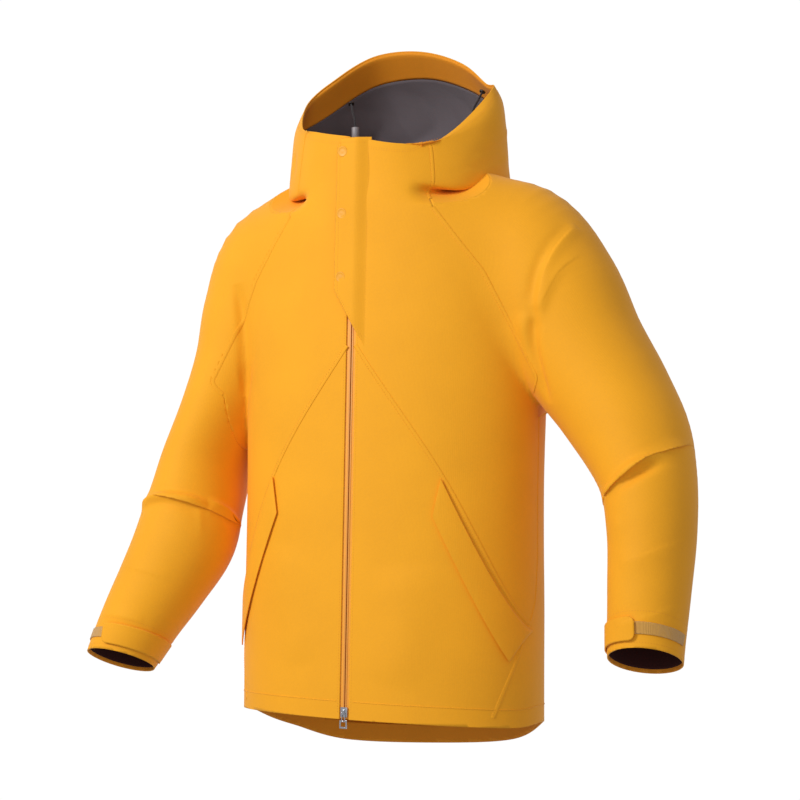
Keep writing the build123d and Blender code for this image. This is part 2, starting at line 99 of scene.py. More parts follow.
# The sleeves' stations: middle, half depth, half width
SLEEVES = {
    LEFT: [
        ((120, 6, -70), 84, 94), ((172, 6, -82), 86, 92), ((217, 4, -134), 85, 90),
        ((259, 0, -204), 83, 82), ((305, -10, -268), 79, 74), ((339, -24, -322), 75, 67),
        ((357, -38, -368), 70, 58), ((366, -54, -425), 64, 53), ((368, -72, -495), 57, 49),
        ((368, -87, -570), 49, 45), ((369, -94, -612), 45, 43),
    ],
    RIGHT: [
        ((-120, 6, -72), 84, 92), ((-168, 6, -86), 86, 89), ((-200, 4, -145), 86, 80),
        ((-220, -2, -212), 86, 68), ((-246, -12, -278), 86, 56), ((-266, -28, -342), 84, 53),
        ((-272, -50, -400), 78, 59), ((-276, -70, -447), 73, 66), ((-297, -94, -505), 63, 60),
        ((-319, -112, -553), 56, 53), ((-341, -128, -605), 49, 46), ((-351, -135, -630), 46, 42),
    ],
}
ELBOW_STATION = {LEFT: 5, RIGHT: 6}
CUFF = {LEFT: (367, -92, -575), RIGHT: (-339, -131, -611)}
# Height of the hem and of the neck seam, from the front of the body to its back
HEM_LINE = [(-200, -658), (-147, -663), (-80, -671), (-5, -681), (60, -702), (110, -731), (141, -741),
            (200, -743)]
NECK_LINE = [(-200, -30), (-117, -25), (-85, -20), (-40, 12), (0, 35), (50, 50), (85, 55), (140, 58)]
# The zip's ends: front-to-back place and height
ZIP_HEM = (-147.0, -663.0)
ZIP_CHIN = (-117.0, 64.0)


def front_y(z):
    """The body's front at height z, on the zip's straight line."""
    return ZIP_HEM[0] + (z - ZIP_HEM[1]) * (ZIP_CHIN[0] - ZIP_HEM[0]) / (ZIP_CHIN[1] - ZIP_HEM[1])


def smooth_line(points, at):
    """A smooth curve through (position, value) points, read at the given positions."""
    xs = np.array([p[0] for p in points], float)
    ys = np.array([p[1] for p in points], float)
    slopes = np.gradient(ys, xs)
    index = np.clip(np.searchsorted(xs, at) - 1, 0, len(xs) - 2)
    width = xs[index + 1] - xs[index]
    t = np.clip((at - xs[index]) / width, 0, 1)
    a, b = ys[index], ys[index + 1]
    ta, tb = slopes[index] * width, slopes[index + 1] * width
    return a + t * ta + t * t * (3 * (b - a) - 2 * ta - tb) + t ** 3 * (2 * (a - b) + ta + tb)


def smoothstep(low, high, value):
    t = np.clip((value - low) / (high - low), 0, 1)
    return t * t * (3 - 2 * t)


# ---------------------------------------------------------------- camera, lights, stage

def link(name, data):
    piece = bpy.data.objects.new(name, data)
    bpy.context.scene.collection.objects.link(piece)
    return piece


def make_camera(distance=2.2):
    """A level camera that looks at the jacket's neck axis."""
    data = bpy.data.cameras.new("camera")
    camera = link("camera", data)
    camera.location = (math.sin(VIEW_AZIMUTH) * distance, -math.cos(VIEW_AZIMUTH) * distance, VIEW_HEIGHT)
    camera.rotation_euler = (math.pi / 2, 0, VIEW_AZIMUTH)
    data.sensor_width, data.lens = 36, 75
    data.shift_x, data.shift_y = 0.0075, 0.0375
    bpy.context.scene.camera = camera


make_camera()


def mesh_from(name, verts, faces, smooth=True):
    """A piece from points in millimetres."""
    mesh = bpy.data.meshes.new(name)
    points = [tuple(p) for p in np.asarray(verts, float) * MM]
    mesh.from_pydata(points, [], [list(map(int, f)) for f in faces])
    mesh.update()
    if smooth:
        mesh.shade_smooth()
    return link(name, mesh)


@contextmanager
def editing(piece):
    """A piece's mesh, open for changes."""
    work = bmesh.new()
    work.from_mesh(piece.data)
    yield work
    work.to_mesh(piece.data)
    work.free()


def unit(vectors):
    """Vectors along the last axis, each brought to length 1."""
    return vectors / np.maximum(np.linalg.norm(vectors, axis=-1, keepdims=True), 1e-6)


def lengths_along(points):
    """How far along a line of points each point is."""
    return np.concatenate([[0], np.cumsum(np.linalg.norm(np.diff(points, axis=0), axis=1))])


def sample_curve(points, count):
    """A smooth curve through a few points, read at even steps of its length."""
    points = np.array(points, float)
    lengths = lengths_along(points)
    at = np.linspace(0, lengths[-1], count)
    return np.stack([smooth_line(list(zip(lengths, column)), at) for column in points.T], 1)


# ---------------------------------------------------------------- the garment as one distance field

def sleeve_path(side, count=70):
    """The sleeve's stations, read evenly along its length: middles, radii and frames."""
    stations = SLEEVES[side]
    middles = np.array([s[0] for s in stations], float)
    lengths = lengths_along(middles)
    at = np.linspace(0, lengths[-1], count)
    path = sample_curve(middles, count)
    depth = smooth_line([(l, s[1]) for l, s in zip(lengths, stations)], at)
    width = smooth_line([(l, s[2]) for l, s in zip(lengths, stations)], at)
    along = unit(np.gradient(path, axis=0))
    back = unit(np.array([0, 1, 0]) - along * along[:, 1:2])
    return {"at": at, "path": path, "depth": depth, "width": width, "along": along, "back": back,
            "across": np.cross(along, back), "stations": lengths}


PATHS = {side: sleeve_path(side) for side in (LEFT, RIGHT)}


def body_distance(points):
    x, y, z = points.T
    half, back, square = [smooth_line([(s[0], s[k]) for s in BODY], z) for k in (1, 2, 3)]
    front = front_y(z)
    middle = 0.5 * (front + back)
    depth = 0.5 * (back - front)
    ratio = (np.abs(x / half) ** square + np.abs((y - middle) / depth) ** square) ** (1 / square)
    reach = np.hypot(x, y - middle)
    return reach * (1 - 1 / np.maximum(ratio, 1e-4))


def sleeve_distance(points, side):
    path = PATHS[side]
    distance = np.empty(len(points))

    def read(values, where):
        return np.stack([np.interp(where, path["at"], values[:, k]) for k in range(3)], 1)

    for start in range(0, len(points), 60000):
        part = points[start:start + 60000]
        near = ((part[:, None, :] - path["path"][None]) ** 2).sum(2).argmin(1)
        offset = part - path["path"][near]
        place = path["at"][near] + (offset * path["along"][near]).sum(1)
        offset = part - read(path["path"], place)
        back = (offset * read(path["back"], place)).sum(1)
        across = (offset * read(path["across"], place)).sum(1)
        depth, width = [np.interp(place, path["at"], path[radius]) for radius in ("depth", "width")]
        ratio = np.hypot(back / depth, across / width)
        distance[start:start + 60000] = np.hypot(back, across) * (1 - 1 / np.maximum(ratio, 1e-4))
    return distance


def smooth_union(a, b, blend):
    share = np.clip(0.5 + 0.5 * (b - a) / blend, 0, 1)
    return b + (a - b) * share - blend * share * (1 - share)


def surface_net(field, low, high, cell):
    """The zero surface of a field as a quad mesh: one point in each cell that the surface crosses."""
    counts = [int(math.ceil((h - l) / cell)) + 1 for l, h in zip(low, high)]
    axes = [l + cell * np.arange(n) for l, n in zip(low, counts)]
    grid = np.stack(np.meshgrid(*axes, indexing="ij"), -1).reshape(-1, 3)
    values = field(grid).reshape(counts)
    shape = [n - 1 for n in counts]
    total = np.zeros(shape + [3])
    crossings = np.zeros(shape)

    def at_corner(corner):
        return values[tuple(slice(c, c + n) for c, n in zip(corner, shape))]

    for start in np.ndindex(2, 2, 2):
        for axis in (k for k in range(3) if not start[k]):
            end = [1 if k == axis else start[k] for k in range(3)]
            va, vb = at_corner(start), at_corner(end)
            crossed = (va < 0) != (vb < 0)
            share = np.where(crossed, va / np.where(crossed, va - vb, 1), 0)
            for k in range(3):
                total[..., k] += np.where(crossed, start[k] + (share if k == axis else 0), 0)
            crossings += crossed
    used = crossings > 0
    index = -np.ones(shape, int)
    index[used] = np.arange(used.sum())
    cells = np.argwhere(used)
    verts = np.array(low) + cell * (cells + total[used] / crossings[used][:, None])
    faces = []
    for axis in range(3):
        others = [k for k in range(3) if k != axis]
        inner = [slice(1, n - 1) for n in counts]
        inner[axis] = slice(0, counts[axis] - 1)
        shifted = list(inner)
        shifted[axis] = slice(1, counts[axis])
        va, vb = values[tuple(inner)], values[tuple(shifted)]
        for rising in (True, False):
            hits = np.argwhere((va < 0) & (vb >= 0) if rising else (va >= 0) & (vb < 0))
            hits[:, others] += 1
            ring = []
            for du, dv in ((0, 0), (-1, 0), (-1, -1), (0, -1)):
                spot = hits.copy()
                spot[:, others[0]] += du
                spot[:, others[1]] += dv
                ring.append(index[spot[:, 0], spot[:, 1], spot[:, 2]])
            quad = np.stack(ring, 1)
            turn = rising if axis != 1 else not rising
            faces.append(quad if turn else quad[:, ::-1])
    faces = np.concatenate(faces)
    return verts, faces[(faces >= 0).all(1)]


def settle(verts, faces, field, rounds=3):
    """Relaxes the mesh and brings it back onto the field's zero surface."""
    edges = np.concatenate([faces[:, [k, (k + 1) % 4]] for k in range(4)])
    for _ in range(rounds):
        total = np.zeros_like(verts)
        count = np.zeros(len(verts))
        for a, b in ((0, 1), (1, 0)):
            np.add.at(total, edges[:, a], verts[edges[:, b]])
            np.add.at(count, edges[:, a], 1)
        verts = to_surface(verts * 0.4 + 0.6 * total / count[:, None], field)
    return verts


def to_surface(verts, field, steps=2, probe=0.5):
    """Moves points along the field's slope to its zero surface."""
    for _ in range(steps):
        value = field(verts)
        slope = np.stack([(field(verts + h) - value) / probe for h in np.eye(3) * probe], 1)
        size = np.maximum((slope ** 2).sum(1), 0.25)
        verts = verts - slope * (value / size)[:, None]
    return verts


def crease(verts, normals, line, width, height, side=0.0, fade=0.25):
    """Raises or sinks the cloth along a smooth line; side makes the fold steeper on one side."""
    curve = sample_curve(line, 60)
    tangent = unit(np.gradient(curve, axis=0))
    low, high = curve.min(0) - 4 * width, curve.max(0) + 4 * width
    inside = ((verts > low) & (verts < high)).all(1)
    part = verts[inside]
    gap = ((part[:, None, :] - curve[None]) ** 2).sum(2)
    near = gap.argmin(1)
    offset = part - curve[near]
    across = np.cross(tangent[near], normals[inside])
    signed = (offset * across).sum(1)
    distance = np.sqrt(gap[np.arange(len(part)), near])
    reach = np.where(signed * side > 0, width * (1 - 0.75 * abs(side)), width * (1 + 0.5 * abs(side)))
    share = near / (len(curve) - 1)
    end = np.clip(np.minimum(share, 1 - share) / max(fade, 1e-3), 0, 1)
    lift = height * np.exp(-(distance / reach) ** 2) * np.sin(end * math.pi / 2)
    verts = verts.copy()
    verts[inside] += normals[inside] * lift[:, None]
    return verts


def cut(piece, across, back, keep_high):
    """Cuts a piece where the first of across(points) is zero. back() undoes across()."""
    move_points(piece, across(points_of(piece)) / MM)
    with editing(piece) as work:
        geometry = work.verts[:] + work.edges[:] + work.faces[:]
        bmesh.ops.bisect_plane(work, geom=geometry, dist=1e-4, plane_co=(0, 0, 0), plane_no=(1, 0, 0),
                               clear_inner=keep_high, clear_outer=not keep_high)
    move_points(piece, back(points_of(piece) * MM))
    return piece


def copy_of(piece, name):
    return link(name, piece.data.copy())


def drop(piece):
    mesh = piece.data
    bpy.data.objects.remove(piece)
    bpy.data.meshes.remove(mesh)


# ---------------------------------------------------------------- materials

def new_material(name):
    material = bpy.data.materials.new(name)
    material.use_nodes = True
    tree = material.node_tree
    return material, tree, tree.nodes["Principled BSDF"]


def put(tree, owner, socket, value):
    """Sets an input of a node, or links another node's output to it."""
    if isinstance(value, bpy.types.NodeSocket):
        tree.links.new(value, owner.inputs[socket])
    else:
        owner.inputs[socket].default_value = value


def node(tree, kind, **values):
    """A new node; the values are its inputs or its settings."""
    made = tree.nodes.new(kind)
    for key, value in values.items():
        if key in made.inputs:
            put(tree, made, key, value)
        else:
            setattr(made, key, value)
    return made


def reckon(tree, operation, *values):
    """The result of a sum on numbers and other nodes' outputs."""
    made = node(tree, "ShaderNodeMath", operation=operation)
    for number, value in enumerate(values):
        put(tree, made, number, value)
    return made.outputs[0]


def colour_ramp(tree, share, dark, light, places=(0.0, 1.0)):
    ramp = node(tree, "ShaderNodeValToRGB", Fac=share)
    for element, place, colour in zip(ramp.color_ramp.elements, places, (dark, light)):
        element.position = place
        element.color = colour
    return ramp.outputs["Color"]


def roughness_range(tree, share, low, high):
    return node(tree, "ShaderNodeMapRange", Value=share, **{"To Min": low, "To Max": high}).outputs["Result"]


def bumps(tree, height, strength, depth):
    return node(tree, "ShaderNodeBump", Height=height, Strength=strength, Distance=depth).outputs["Normal"]


def srgb(*values):
    """A colour given as 0-255 screen values, as linear light."""
    linear = [v / 255 for v in values]
    return [v / 12.92 if v <= 0.04045 else ((v + 0.055) / 1.055) ** 2.4 for v in linear] + [1.0]


def weave(tree, scale, coords):
    """A plain weave's height: threads that pass over and under in two directions."""
    x, y, z = [node(tree, "ShaderNodeTexWave", Scale=scale, wave_type="BANDS", bands_direction=axis,
                    Vector=coords).outputs["Fac"] for axis in "XYZ"]
    return reckon(tree, "ADD", reckon(tree, "MULTIPLY", x, z), y)


def cloth_material(name, colour, rough=0.72, sheen=0.25, scale=260.0, bump=0.12):
    """Woven or knitted cloth, its colour a little uneven."""
    material, tree, shader = new_material(name)
    coords = node(tree, "ShaderNodeTexCoord").outputs["Object"]
    broad, fine = [node(tree, "ShaderNodeTexNoise", Scale=size, Detail=detail, Roughness=spread,
                        Vector=coords).outputs["Fac"]
                   for size, detail, spread in ((9.0, 4.0, 0.55), (420.0, 2.0, 0.6))]
    share = reckon(tree, "MULTIPLY_ADD", fine, 0.35, reckon(tree, "MULTIPLY", broad, 0.65))
    dark = [c * 0.92 for c in colour[:3]] + [1.0]
    light = [min(1, c * 1.05) for c in colour[:3]] + [1.0]
    for socket, value in (
        ("Base Color", colour_ramp(tree, share, dark, light, (0.3, 0.72))),
        ("Normal", bumps(tree, weave(tree, scale, coords), bump, 0.0004)),
        ("Roughness", roughness_range(tree, fine, rough - 0.06, rough + 0.06)),
        ("Sheen Weight", sheen),
        ("Sheen Roughness", 0.5),
        ("Specular IOR Level", 0.3),
    ):
        put(tree, shader, socket, value)
    return material


def hard_material(name, colour, metallic, rough, bump=0.02):
    """Metal or moulded plastic, its surface finely uneven."""
    material, tree, shader = new_material(name)
    coords = node(tree, "ShaderNodeTexCoord").outputs["Object"]
    noise = node(tree, "ShaderNodeTexNoise", Scale=700.0, Detail=3.0, Roughness=0.6,
                 Vector=coords).outputs["Fac"]
    dark = [c * 0.85 for c in colour[:3]] + [1.0]
    light = [min(1, c * 1.08) for c in colour[:3]] + [1.0]
    for socket, value in (
        ("Base Color", colour_ramp(tree, noise, dark, light)),
        ("Roughness", roughness_range(tree, noise, max(0.04, rough - 0.08), rough + 0.08)),
        ("Normal", bumps(tree, noise, bump, 0.0002)),
        ("Metallic", metallic),
    ):
        put(tree, shader, socket, value)
    return material


SHELL = cloth_material("shell_cloth", srgb(252, 172, 26), sheen=0.06)
FACING = cloth_material("facing_cloth", srgb(240, 152, 30), rough=0.78, sheen=0.05)
# The shell's own orange for its inner faces, painted a little darker as shade for the inside of the jacket
INSIDE = cloth_material("inside_of_shell", srgb(240, 152, 34), rough=0.8, sheen=0.05)
# Painted shade: a near-black dark red for the deep inside of the cuffs, where little light gets in; the
# lining there is grey
CUFF_INSIDE_SHADE = cloth_material("cuff_inside_painted_shade", srgb(58, 22, 20), rough=0.9, sheen=0.0)
LINING = cloth_material("lining_knit", srgb(98, 91, 96), rough=0.85, sheen=0.15, scale=420.0, bump=0.3)
MESH_LINING = cloth_material("pocket_mesh", srgb(120, 118, 126), rough=0.85, scale=160.0, bump=0.6)
TAPE = cloth_material("zip_tape_film", srgb(252, 172, 62), rough=0.5, sheen=0.0, scale=500.0, bump=0.05)
THREAD = cloth_material("thread", srgb(238, 152, 28), rough=0.6, scale=900.0, bump=0.3)
LOOPS = cloth_material("loop_pile", srgb(224, 166, 78), rough=0.95, sheen=0.5, scale=330.0, bump=0.9)
HOOKS = hard_material("hook_moulding", srgb(90, 80, 70), 0.0, 0.5, bump=0.5)
WEBBING = cloth_material("webbing_weave", srgb(90, 86, 94), rough=0.8, scale=220.0, bump=0.5)
CORD = cloth_material("cord_braid", srgb(48, 44, 48), rough=0.75, scale=500.0, bump=0.8)
PLASTIC = hard_material("moulded_plastic", srgb(150, 145, 148), 0.0, 0.42)
COIL = hard_material("zip_coil_plastic", srgb(236, 158, 66), 0.0, 0.45)
CHROME = hard_material("plated_metal", srgb(206, 208, 214), 1.0, 0.2)
DARK_METAL = hard_material("dark_plated_metal", srgb(96, 92, 90), 1.0, 0.35)
SNAP_PAINT = hard_material("painted_snap", srgb(252, 170, 30), 0.0, 0.45)


def paint(piece, *materials):
    piece.data.materials.clear()
    for material in materials:
        piece.data.materials.append(material)
    return piece


def thicken(piece, thickness, inner=0):
    """Gives a sheet its thickness, inwards; inner is the material number of its inside."""
    solid = piece.modifiers.new("thickness", "SOLIDIFY")
    solid.thickness = thickness * MM
    solid.offset = -1.0
    solid.material_offset = inner
    solid.use_rim = True
    return piece


def dress(piece, cloth, thickness, nodes, inside=None):
    """Gives a sheet its cloth and thickness, and hides the nodes that it takes the place of."""
    thicken(paint(piece, cloth, inside or cloth), thickness, inner=1 if inside else 0)
    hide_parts(*nodes)
    return piece


# ---------------------------------------------------------------- garment pieces

def points_of(piece):
    """A mesh's points in millimetres."""
    flat = np.empty(len(piece.data.vertices) * 3)
    piece.data.vertices.foreach_get("co", flat)
    return flat.reshape(-1, 3) / MM


def move_points(piece, points):
    piece.data.vertices.foreach_set("co", (np.asarray(points) * MM).ravel())
    piece.data.update()


def hem_z(y, x):
    """The hem's height; at the back it hangs a little lower on the wearer's right."""
    return smooth_line(HEM_LINE, y) + 0.075 * np.clip(x, -200, 200) * smoothstep(-60, 60, y)


def neck_z(y, x=0):
    """The neck seam's height; it is the same at every x."""
    return smooth_line(NECK_LINE, y)


def raglan_x(z):
    """How far out the raglan seam is at height z; under the arm it is the body's own side."""
    seam = np.interp(-z, [24, 108, 270, 800], [99, 162, 240, 240])
    side = np.interp(z, [s[0] for s in BODY], [s[1] for s in BODY]) + 4
    return seam + (side - seam) * smoothstep(235, 262, -z)


def on_neck_line(point):
    return abs(point[2] - neck_z(np.array([point[1]]))[0]) < 0.2


def cut_at_height(piece, line, keep_high):
    """Cuts a piece along a line that gives z for each y and x."""
    return cut(piece, lambda p: np.stack([p[:, 2] - line(p[:, 1], p[:, 0]), p[:, 1], p[:, 0]], 1),
               lambda q: np.stack([q[:, 2], q[:, 1], q[:, 0] + line(q[:, 1], q[:, 2])], 1), keep_high)


def cut_at_raglan(piece, side, keep_high):
    return cut(piece, lambda p: np.stack([side * p[:, 0] - raglan_x(p[:, 2]), p[:, 1], p[:, 2]], 1),
               lambda q: np.stack([side * (q[:, 0] + raglan_x(q[:, 2])), q[:, 1], q[:, 2]], 1), keep_high)


def cut_at_plane(piece, point, normal, keep_high):
    """Cuts a piece with a flat plane."""
    normal = unit(np.array(normal, float))
    first = unit(np.cross(normal, [0.3, 0.9, 0.2]))
    axes = np.stack([normal, first, np.cross(normal, first)])
    return cut(piece, lambda p: (p - point) @ axes.T, lambda q: q @ axes + point, keep_high)


def keep_main_part(piece, near):
    """Keeps the connected part of a piece that is nearest to a point."""
    goal = Vector(near) * MM
    with editing(piece) as work:
        start = min(work.verts, key=lambda v: (v.co - goal).length_squared)
        found, waiting = {start}, [start]
        while waiting:
            vert = waiting.pop()
            for edge in vert.link_edges:
                other = edge.other_vert(vert)
                if other not in found:
                    found.add(other)
                    waiting.append(other)
        bmesh.ops.delete(work, geom=[v for v in work.verts if v not in found], context="VERTS")


def boundary_loop(piece, test):
    """The points of a piece's open edges that pass a test."""
    work = bmesh.new()
    work.from_mesh(piece.data)
    points = [np.array(v.co) / MM for v in work.verts if any(e.is_boundary for e in v.link_edges)]
    work.free()
    return np.array([p for p in points if test(p)])


def sleeve_at(side, station):
    """The sleeve's middle at a station, and the direction across it."""
    path = PATHS[side]
    index = int(np.abs(path["at"] - path["stations"][station]).argmin())
    return path["path"][index], path["across"][index]


def garment_distance(points):
    body = body_distance(points)
    distance = body.copy()
    for side in (LEFT, RIGHT):
        near = points[:, 0] * side > 60
        blend = 6 + 20 * smoothstep(-270, -180, points[near, 2])
        distance[near] = smooth_union(distance[near], sleeve_distance(points[near], side), blend)
    return distance


def near_fold(points, line, reach):
    """The numbers of the points within a distance of a fold."""
    curve = sample_curve(line, 40)
    spots = np.nonzero(((points > curve.min(0) - reach) & (points < curve.max(0) + reach)).all(1))[0]
    gap = ((points[spots][:, None] - curve[None]) ** 2).sum(2).min(1)
    return spots[gap < reach ** 2]


def refine_near(piece, creases, rounds=2):
    """Splits the mesh finer near the folds, twice near the narrow ones."""
    for turn in range(rounds):
        points = points_of(piece)
        near = np.zeros(len(points), bool)
        for line, width, *_ in creases:
            reach = width * (2.6 if turn == 0 else 1.6) + 4
            near[near_fold(points, line, reach)] = width < NARROW_FOLD or turn == 0 and width < 20
        with editing(piece) as work:
            work.verts.ensure_lookup_table()
            edges = [e for e in work.edges if near[e.verts[0].index] and near[e.verts[1].index]]
            bmesh.ops.subdivide_edges(work, edges=edges, cuts=1, use_grid_fill=True)
    return piece


def calm_folds(piece, creases, rounds=3):
    """Evens the mesh out where folds run together."""
    points = points_of(piece)
    near = np.zeros(len(points), bool)
    for line, width, *_ in creases:
        if width < NARROW_FOLD:
            near[near_fold(points, line, width * 2)] = True
    with editing(piece) as work:
        work.verts.ensure_lookup_table()
        chosen = [work.verts[i] for i in np.nonzero(near)[0]]
        for _ in range(rounds):
            bmesh.ops.smooth_vert(work, verts=chosen, factor=0.5,
                                  use_axis_x=True, use_axis_y=True, use_axis_z=True)


def mesh_normals(piece):
    flat = np.empty(len(piece.data.vertices) * 3)
    piece.data.vertex_normals.foreach_get("vector", flat)
    return flat.reshape(-1, 3)


def make_garment(creases):
    """The body and both sleeves as one sheet, up to above the neck seam, with its folds."""
    low, high = np.array([-440.0, -200.0, -775.0]), np.array([440.0, 190.0, 95.0])
    verts, faces = surface_net(garment_distance, low, high, 5.0)
    used = np.unique(faces)
    index = -np.ones(len(verts), int)
    index[used] = np.arange(len(used))
    verts, faces = verts[used], index[faces]
    verts = settle(verts, faces, garment_distance)
    piece = refine_near(mesh_from("garment", verts, faces), creases)
    move_points(piece, to_surface(points_of(piece), garment_distance, 1))
    for fold in creases:
        move_points(piece, crease(points_of(piece), mesh_normals(piece), *fold))
    calm_folds(piece, creases)
    piece.data.shade_smooth()
    return piece


# Folds of the cloth: points along the fold, width, height, and which side is steeper
CREASES = [
    ([(262, -26, -50), (247, -50, -74), (237, -70, -104), (229, -80, -160)], 9, 4, 0.4),
    ([(268, -34, -92), (249, -68, -118), (238, -77, -144), (229, -81, -176)], 9, 3, -0.3),
    ([(252, -34, -52), (237, -60, -80), (228, -75, -112), (221, -81, -165)], 8, -3.5, 0.0),
    ([(226, -81, -150), (222, -79, -195), (228, -73, -238), (236, -62, -273)], 8, -6, 0.3),
    ([(212, -82, -160), (206, -84, -200), (203, -86, -250)], 12, 4, 0.0),
    ([(-193, -81, -110), (-184, -81, -164), (-188, -63, -259)], 9, -6, 0.3),
    ([(-322, -98, -412), (-309, -117, -398), (-282, -127, -389), (-247, -121, -391), (-224, -98, -400)],
     6, 6, -0.6),
    ([(-312, -110, -412), (-284, -124, -403), (-248, -119, -405), (-226, -96, -412)], 7, -5, 0.0),
    ([(-228, -100, -396), (-219, -80, -404), (-214, -57, -418), (-214, -30, -440)], 6, 5, -0.5),
    ([(-226, -98, -410), (-221, -76, -424), (-218, -52, -440)], 6, -4, 0.0),
    ([(-236, -108, -404), (-232, -112, -430), (-236, -112, -452)], 6, 3, 0.0),
    ([(296, -98, -398), (310, -93, -379), (335, -108, -357), (364, -99, -338), (393, -57, -325)], 6, 7, -0.6),
    ([(300, -100, -408), (318, -104, -388), (340, -112, -370), (368, -104, -352), (394, -60, -342)],
     7, -6, 0.0),
    ([(300, -90, -440), (318, -112, -420), (345, -118, -410)], 9, 3, 0.0),
    ([(-60, -132, -600), (-90, -128, -520), (-100, -126, -450)], 30, 3, 0.0),
    ([(60, -134, -620), (80, -130, -540), (74, -130, -470)], 34, 3, 0.0),
    ([(-200, 30, -330), (-190, 90, -360), (-120, 130, -380)], 26, 4, 0.0),
    ([(196, 60, -300), (150, 116, -350), (60, 134, -400)], 28, 4, 0.0),
    ([(150, 112, -120), (90, 130, -180), (10, 134, -200)], 26, 3, 0.0),
    ([(-150, 112, -130), (-90, 130, -190), (-20, 134, -220)], 24, 3, 0.0),
    ([(-170, 90, -560), (-60, 136, -600), (60, 138, -590)], 30, 3, 0.0),
    ([(330, 50, -330), (350, 30, -380), (352, 10, -420)], 12, -4, 0.0),
    ([(-290, 60, -360), (-292, 30, -420), (-300, 0, -470)], 14, -4, 0.0),
    ([(392, -60, -430), (372, -112, -450), (344, -118, -462)], 14, 3, 0.3),
    ([(400, -70, -500), (376, -120, -520), (345, -120, -534)], 12, 2.5, 0.3),
    ([(-330, -100, -500), (-300, -140, -492), (-262, -128, -500)], 12, 2.5, 0.3),
    ([(-352, -130, -560), (-322, -162, -550), (-290, -150, -556)], 10, 2, 0.3),
]

garment = make_garment(CREASES)
GARMENT_TREE = BVHTree.FromPolygons([tuple(v) for v in points_of(garment)],
                                    [tuple(p.vertices) for p in garment.data.polygons])


def surface_at(x, z, way=1):
    """The garment's surface at (x, z), from the front when way is 1 and from the back when it is -1."""
    spot = GARMENT_TREE.ray_cast(Vector((x, -400 * way, z)), Vector((0, way, 0)))[0]
    return None if spot is None else np.array(spot)


def open_front(piece, half, low_z=BELOW_HEM):
    """Takes out the strip behind the main zip."""
    def front_faces(reach):
        middles = [(f, f.calc_center_median()) for f in work.faces]
        return [(f, middle) for f, middle in middles if middle.y < -0.06 and abs(middle.x) < reach]

    with editing(piece) as work:
        for x in (-half, half):
            faces = [f for f, _ in front_faces(0.03)]
            geometry = list({v for f in faces for v in f.verts}) + list({e for f in faces for e in f.edges})
            bmesh.ops.bisect_plane(work, geom=geometry + faces, dist=1e-6,
                                   plane_co=(x * MM, 0, 0), plane_no=(1, 0, 0))
        gone = [f for f, middle in front_faces(half * MM) if middle.z > low_z * MM]
        bmesh.ops.delete(work, geom=gone, context="FACES")


# ---------------------------------------------------------------- body

body_shell = copy_of(garment, "body_shell")
for side in (LEFT, RIGHT):
    cut_at_raglan(body_shell, side, False)
cut_at_height(body_shell, hem_z, True)
cut_at_height(body_shell, neck_z, False)
body_neck = boundary_loop(body_shell, on_neck_line)
neck_edge = body_neck  # the sleeves' neck edges are added below

hem_band = copy_of(garment, "hem_facing_cloth")
for side in (LEFT, RIGHT):
    cut_at_raglan(hem_band, side, False)
cut_at_height(hem_band, lambda y, x: hem_z(y, x) + 1.2, True)
cut_at_height(hem_band, lambda y, x: hem_z(y, x) + 26, False)
move_points(hem_band, points_of(hem_band) - mesh_normals(hem_band) * 2.2)
open_front(hem_band, 15.5)
dress(hem_band, FACING, 0.9, ["hem_facing"])
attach(hem_band, "torso")

# ---------------------------------------------------------------- sleeves

# Where each sleeve's upper and lower parts meet: a point and the way down the sleeve
SPLITS = {
    LEFT: (np.array([352.0, -88.0, -352.0]), np.array([0.598, -0.171, -0.783])),
    RIGHT: (np.array([-276.0, -58.0, -418.0]), np.array([-0.092, -0.379, -0.921])),
}


def cuff_frame(side):
    """A cuff's middle, the way its end faces, and the directions to its inner side and its front."""
    down = unit(np.array([0.06 * side, -0.42, -0.905]))
    front = unit(down * down[1] - np.array([0, 1, 0]))
    return np.array(CUFF[side], float), down, np.cross(down, front) * side, front


def cuff_spot(side, turn, rise):
    """A point of the sleeve, at an angle (0 inner side, 90 front) and a distance above the cuff's end."""
    middle, down, inner, front = cuff_frame(side)
    start = middle - down * rise
    way = inner * math.cos(math.radians(turn)) + front * math.sin(math.radians(turn))
    spot, normal = GARMENT_TREE.ray_cast(Vector(start), Vector(way))[:2]
    normal = np.array(normal)
    return np.array(spot), normal if normal @ way > 0 else -normal


def lap_over(piece, point, normal):
    """The upper sleeve's lower edge hangs over the lower sleeve in a fold, at the front."""
    points, out = points_of(piece), mesh_normals(piece)
    near = 1 - np.clip((point - points) @ normal / 12, 0, 1)
    front_share = smoothstep(-20, -75, points[:, 1]) * near ** 2
    move_points(piece, points + (out * 2.2 + normal * 4.0) * front_share[:, None])


for side in (LEFT, RIGHT):
    name = NAMES[side]
    elbow, across = sleeve_at(side, ELBOW_STATION[side])
    whole = copy_of(garment, name + "_sleeve")
    cut_at_raglan(whole, side, True)
    cut_at_height(whole, neck_z, False)
    neck_edge = np.concatenate([neck_edge, boundary_loop(whole, on_neck_line)])
    cut_at_plane(whole, *cuff_frame(side)[:2], False)
    keep_main_part(whole, elbow + 70 * across * side)
    upper = copy_of(whole, name + "_upper_sleeve_cloth")
    point, normal = SPLITS[side]
    cut_at_plane(upper, point, normal, False)
    lap_over(upper, point, normal)
    lower = copy_of(whole, name + "_lower_sleeve_cloth")
    cut_at_plane(lower, point, normal, True)
    drop(whole)
    dress(upper, SHELL, SHELL_THICKNESS, [name + "_upper_sleeve", name + "_shoulder_panel"], INSIDE)
    dress(lower, SHELL, SHELL_THICKNESS, [name + "_lower_sleeve"], INSIDE)
    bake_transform(upper)
    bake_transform(lower)

drop(garment)

# ---------------------------------------------------------------- hood

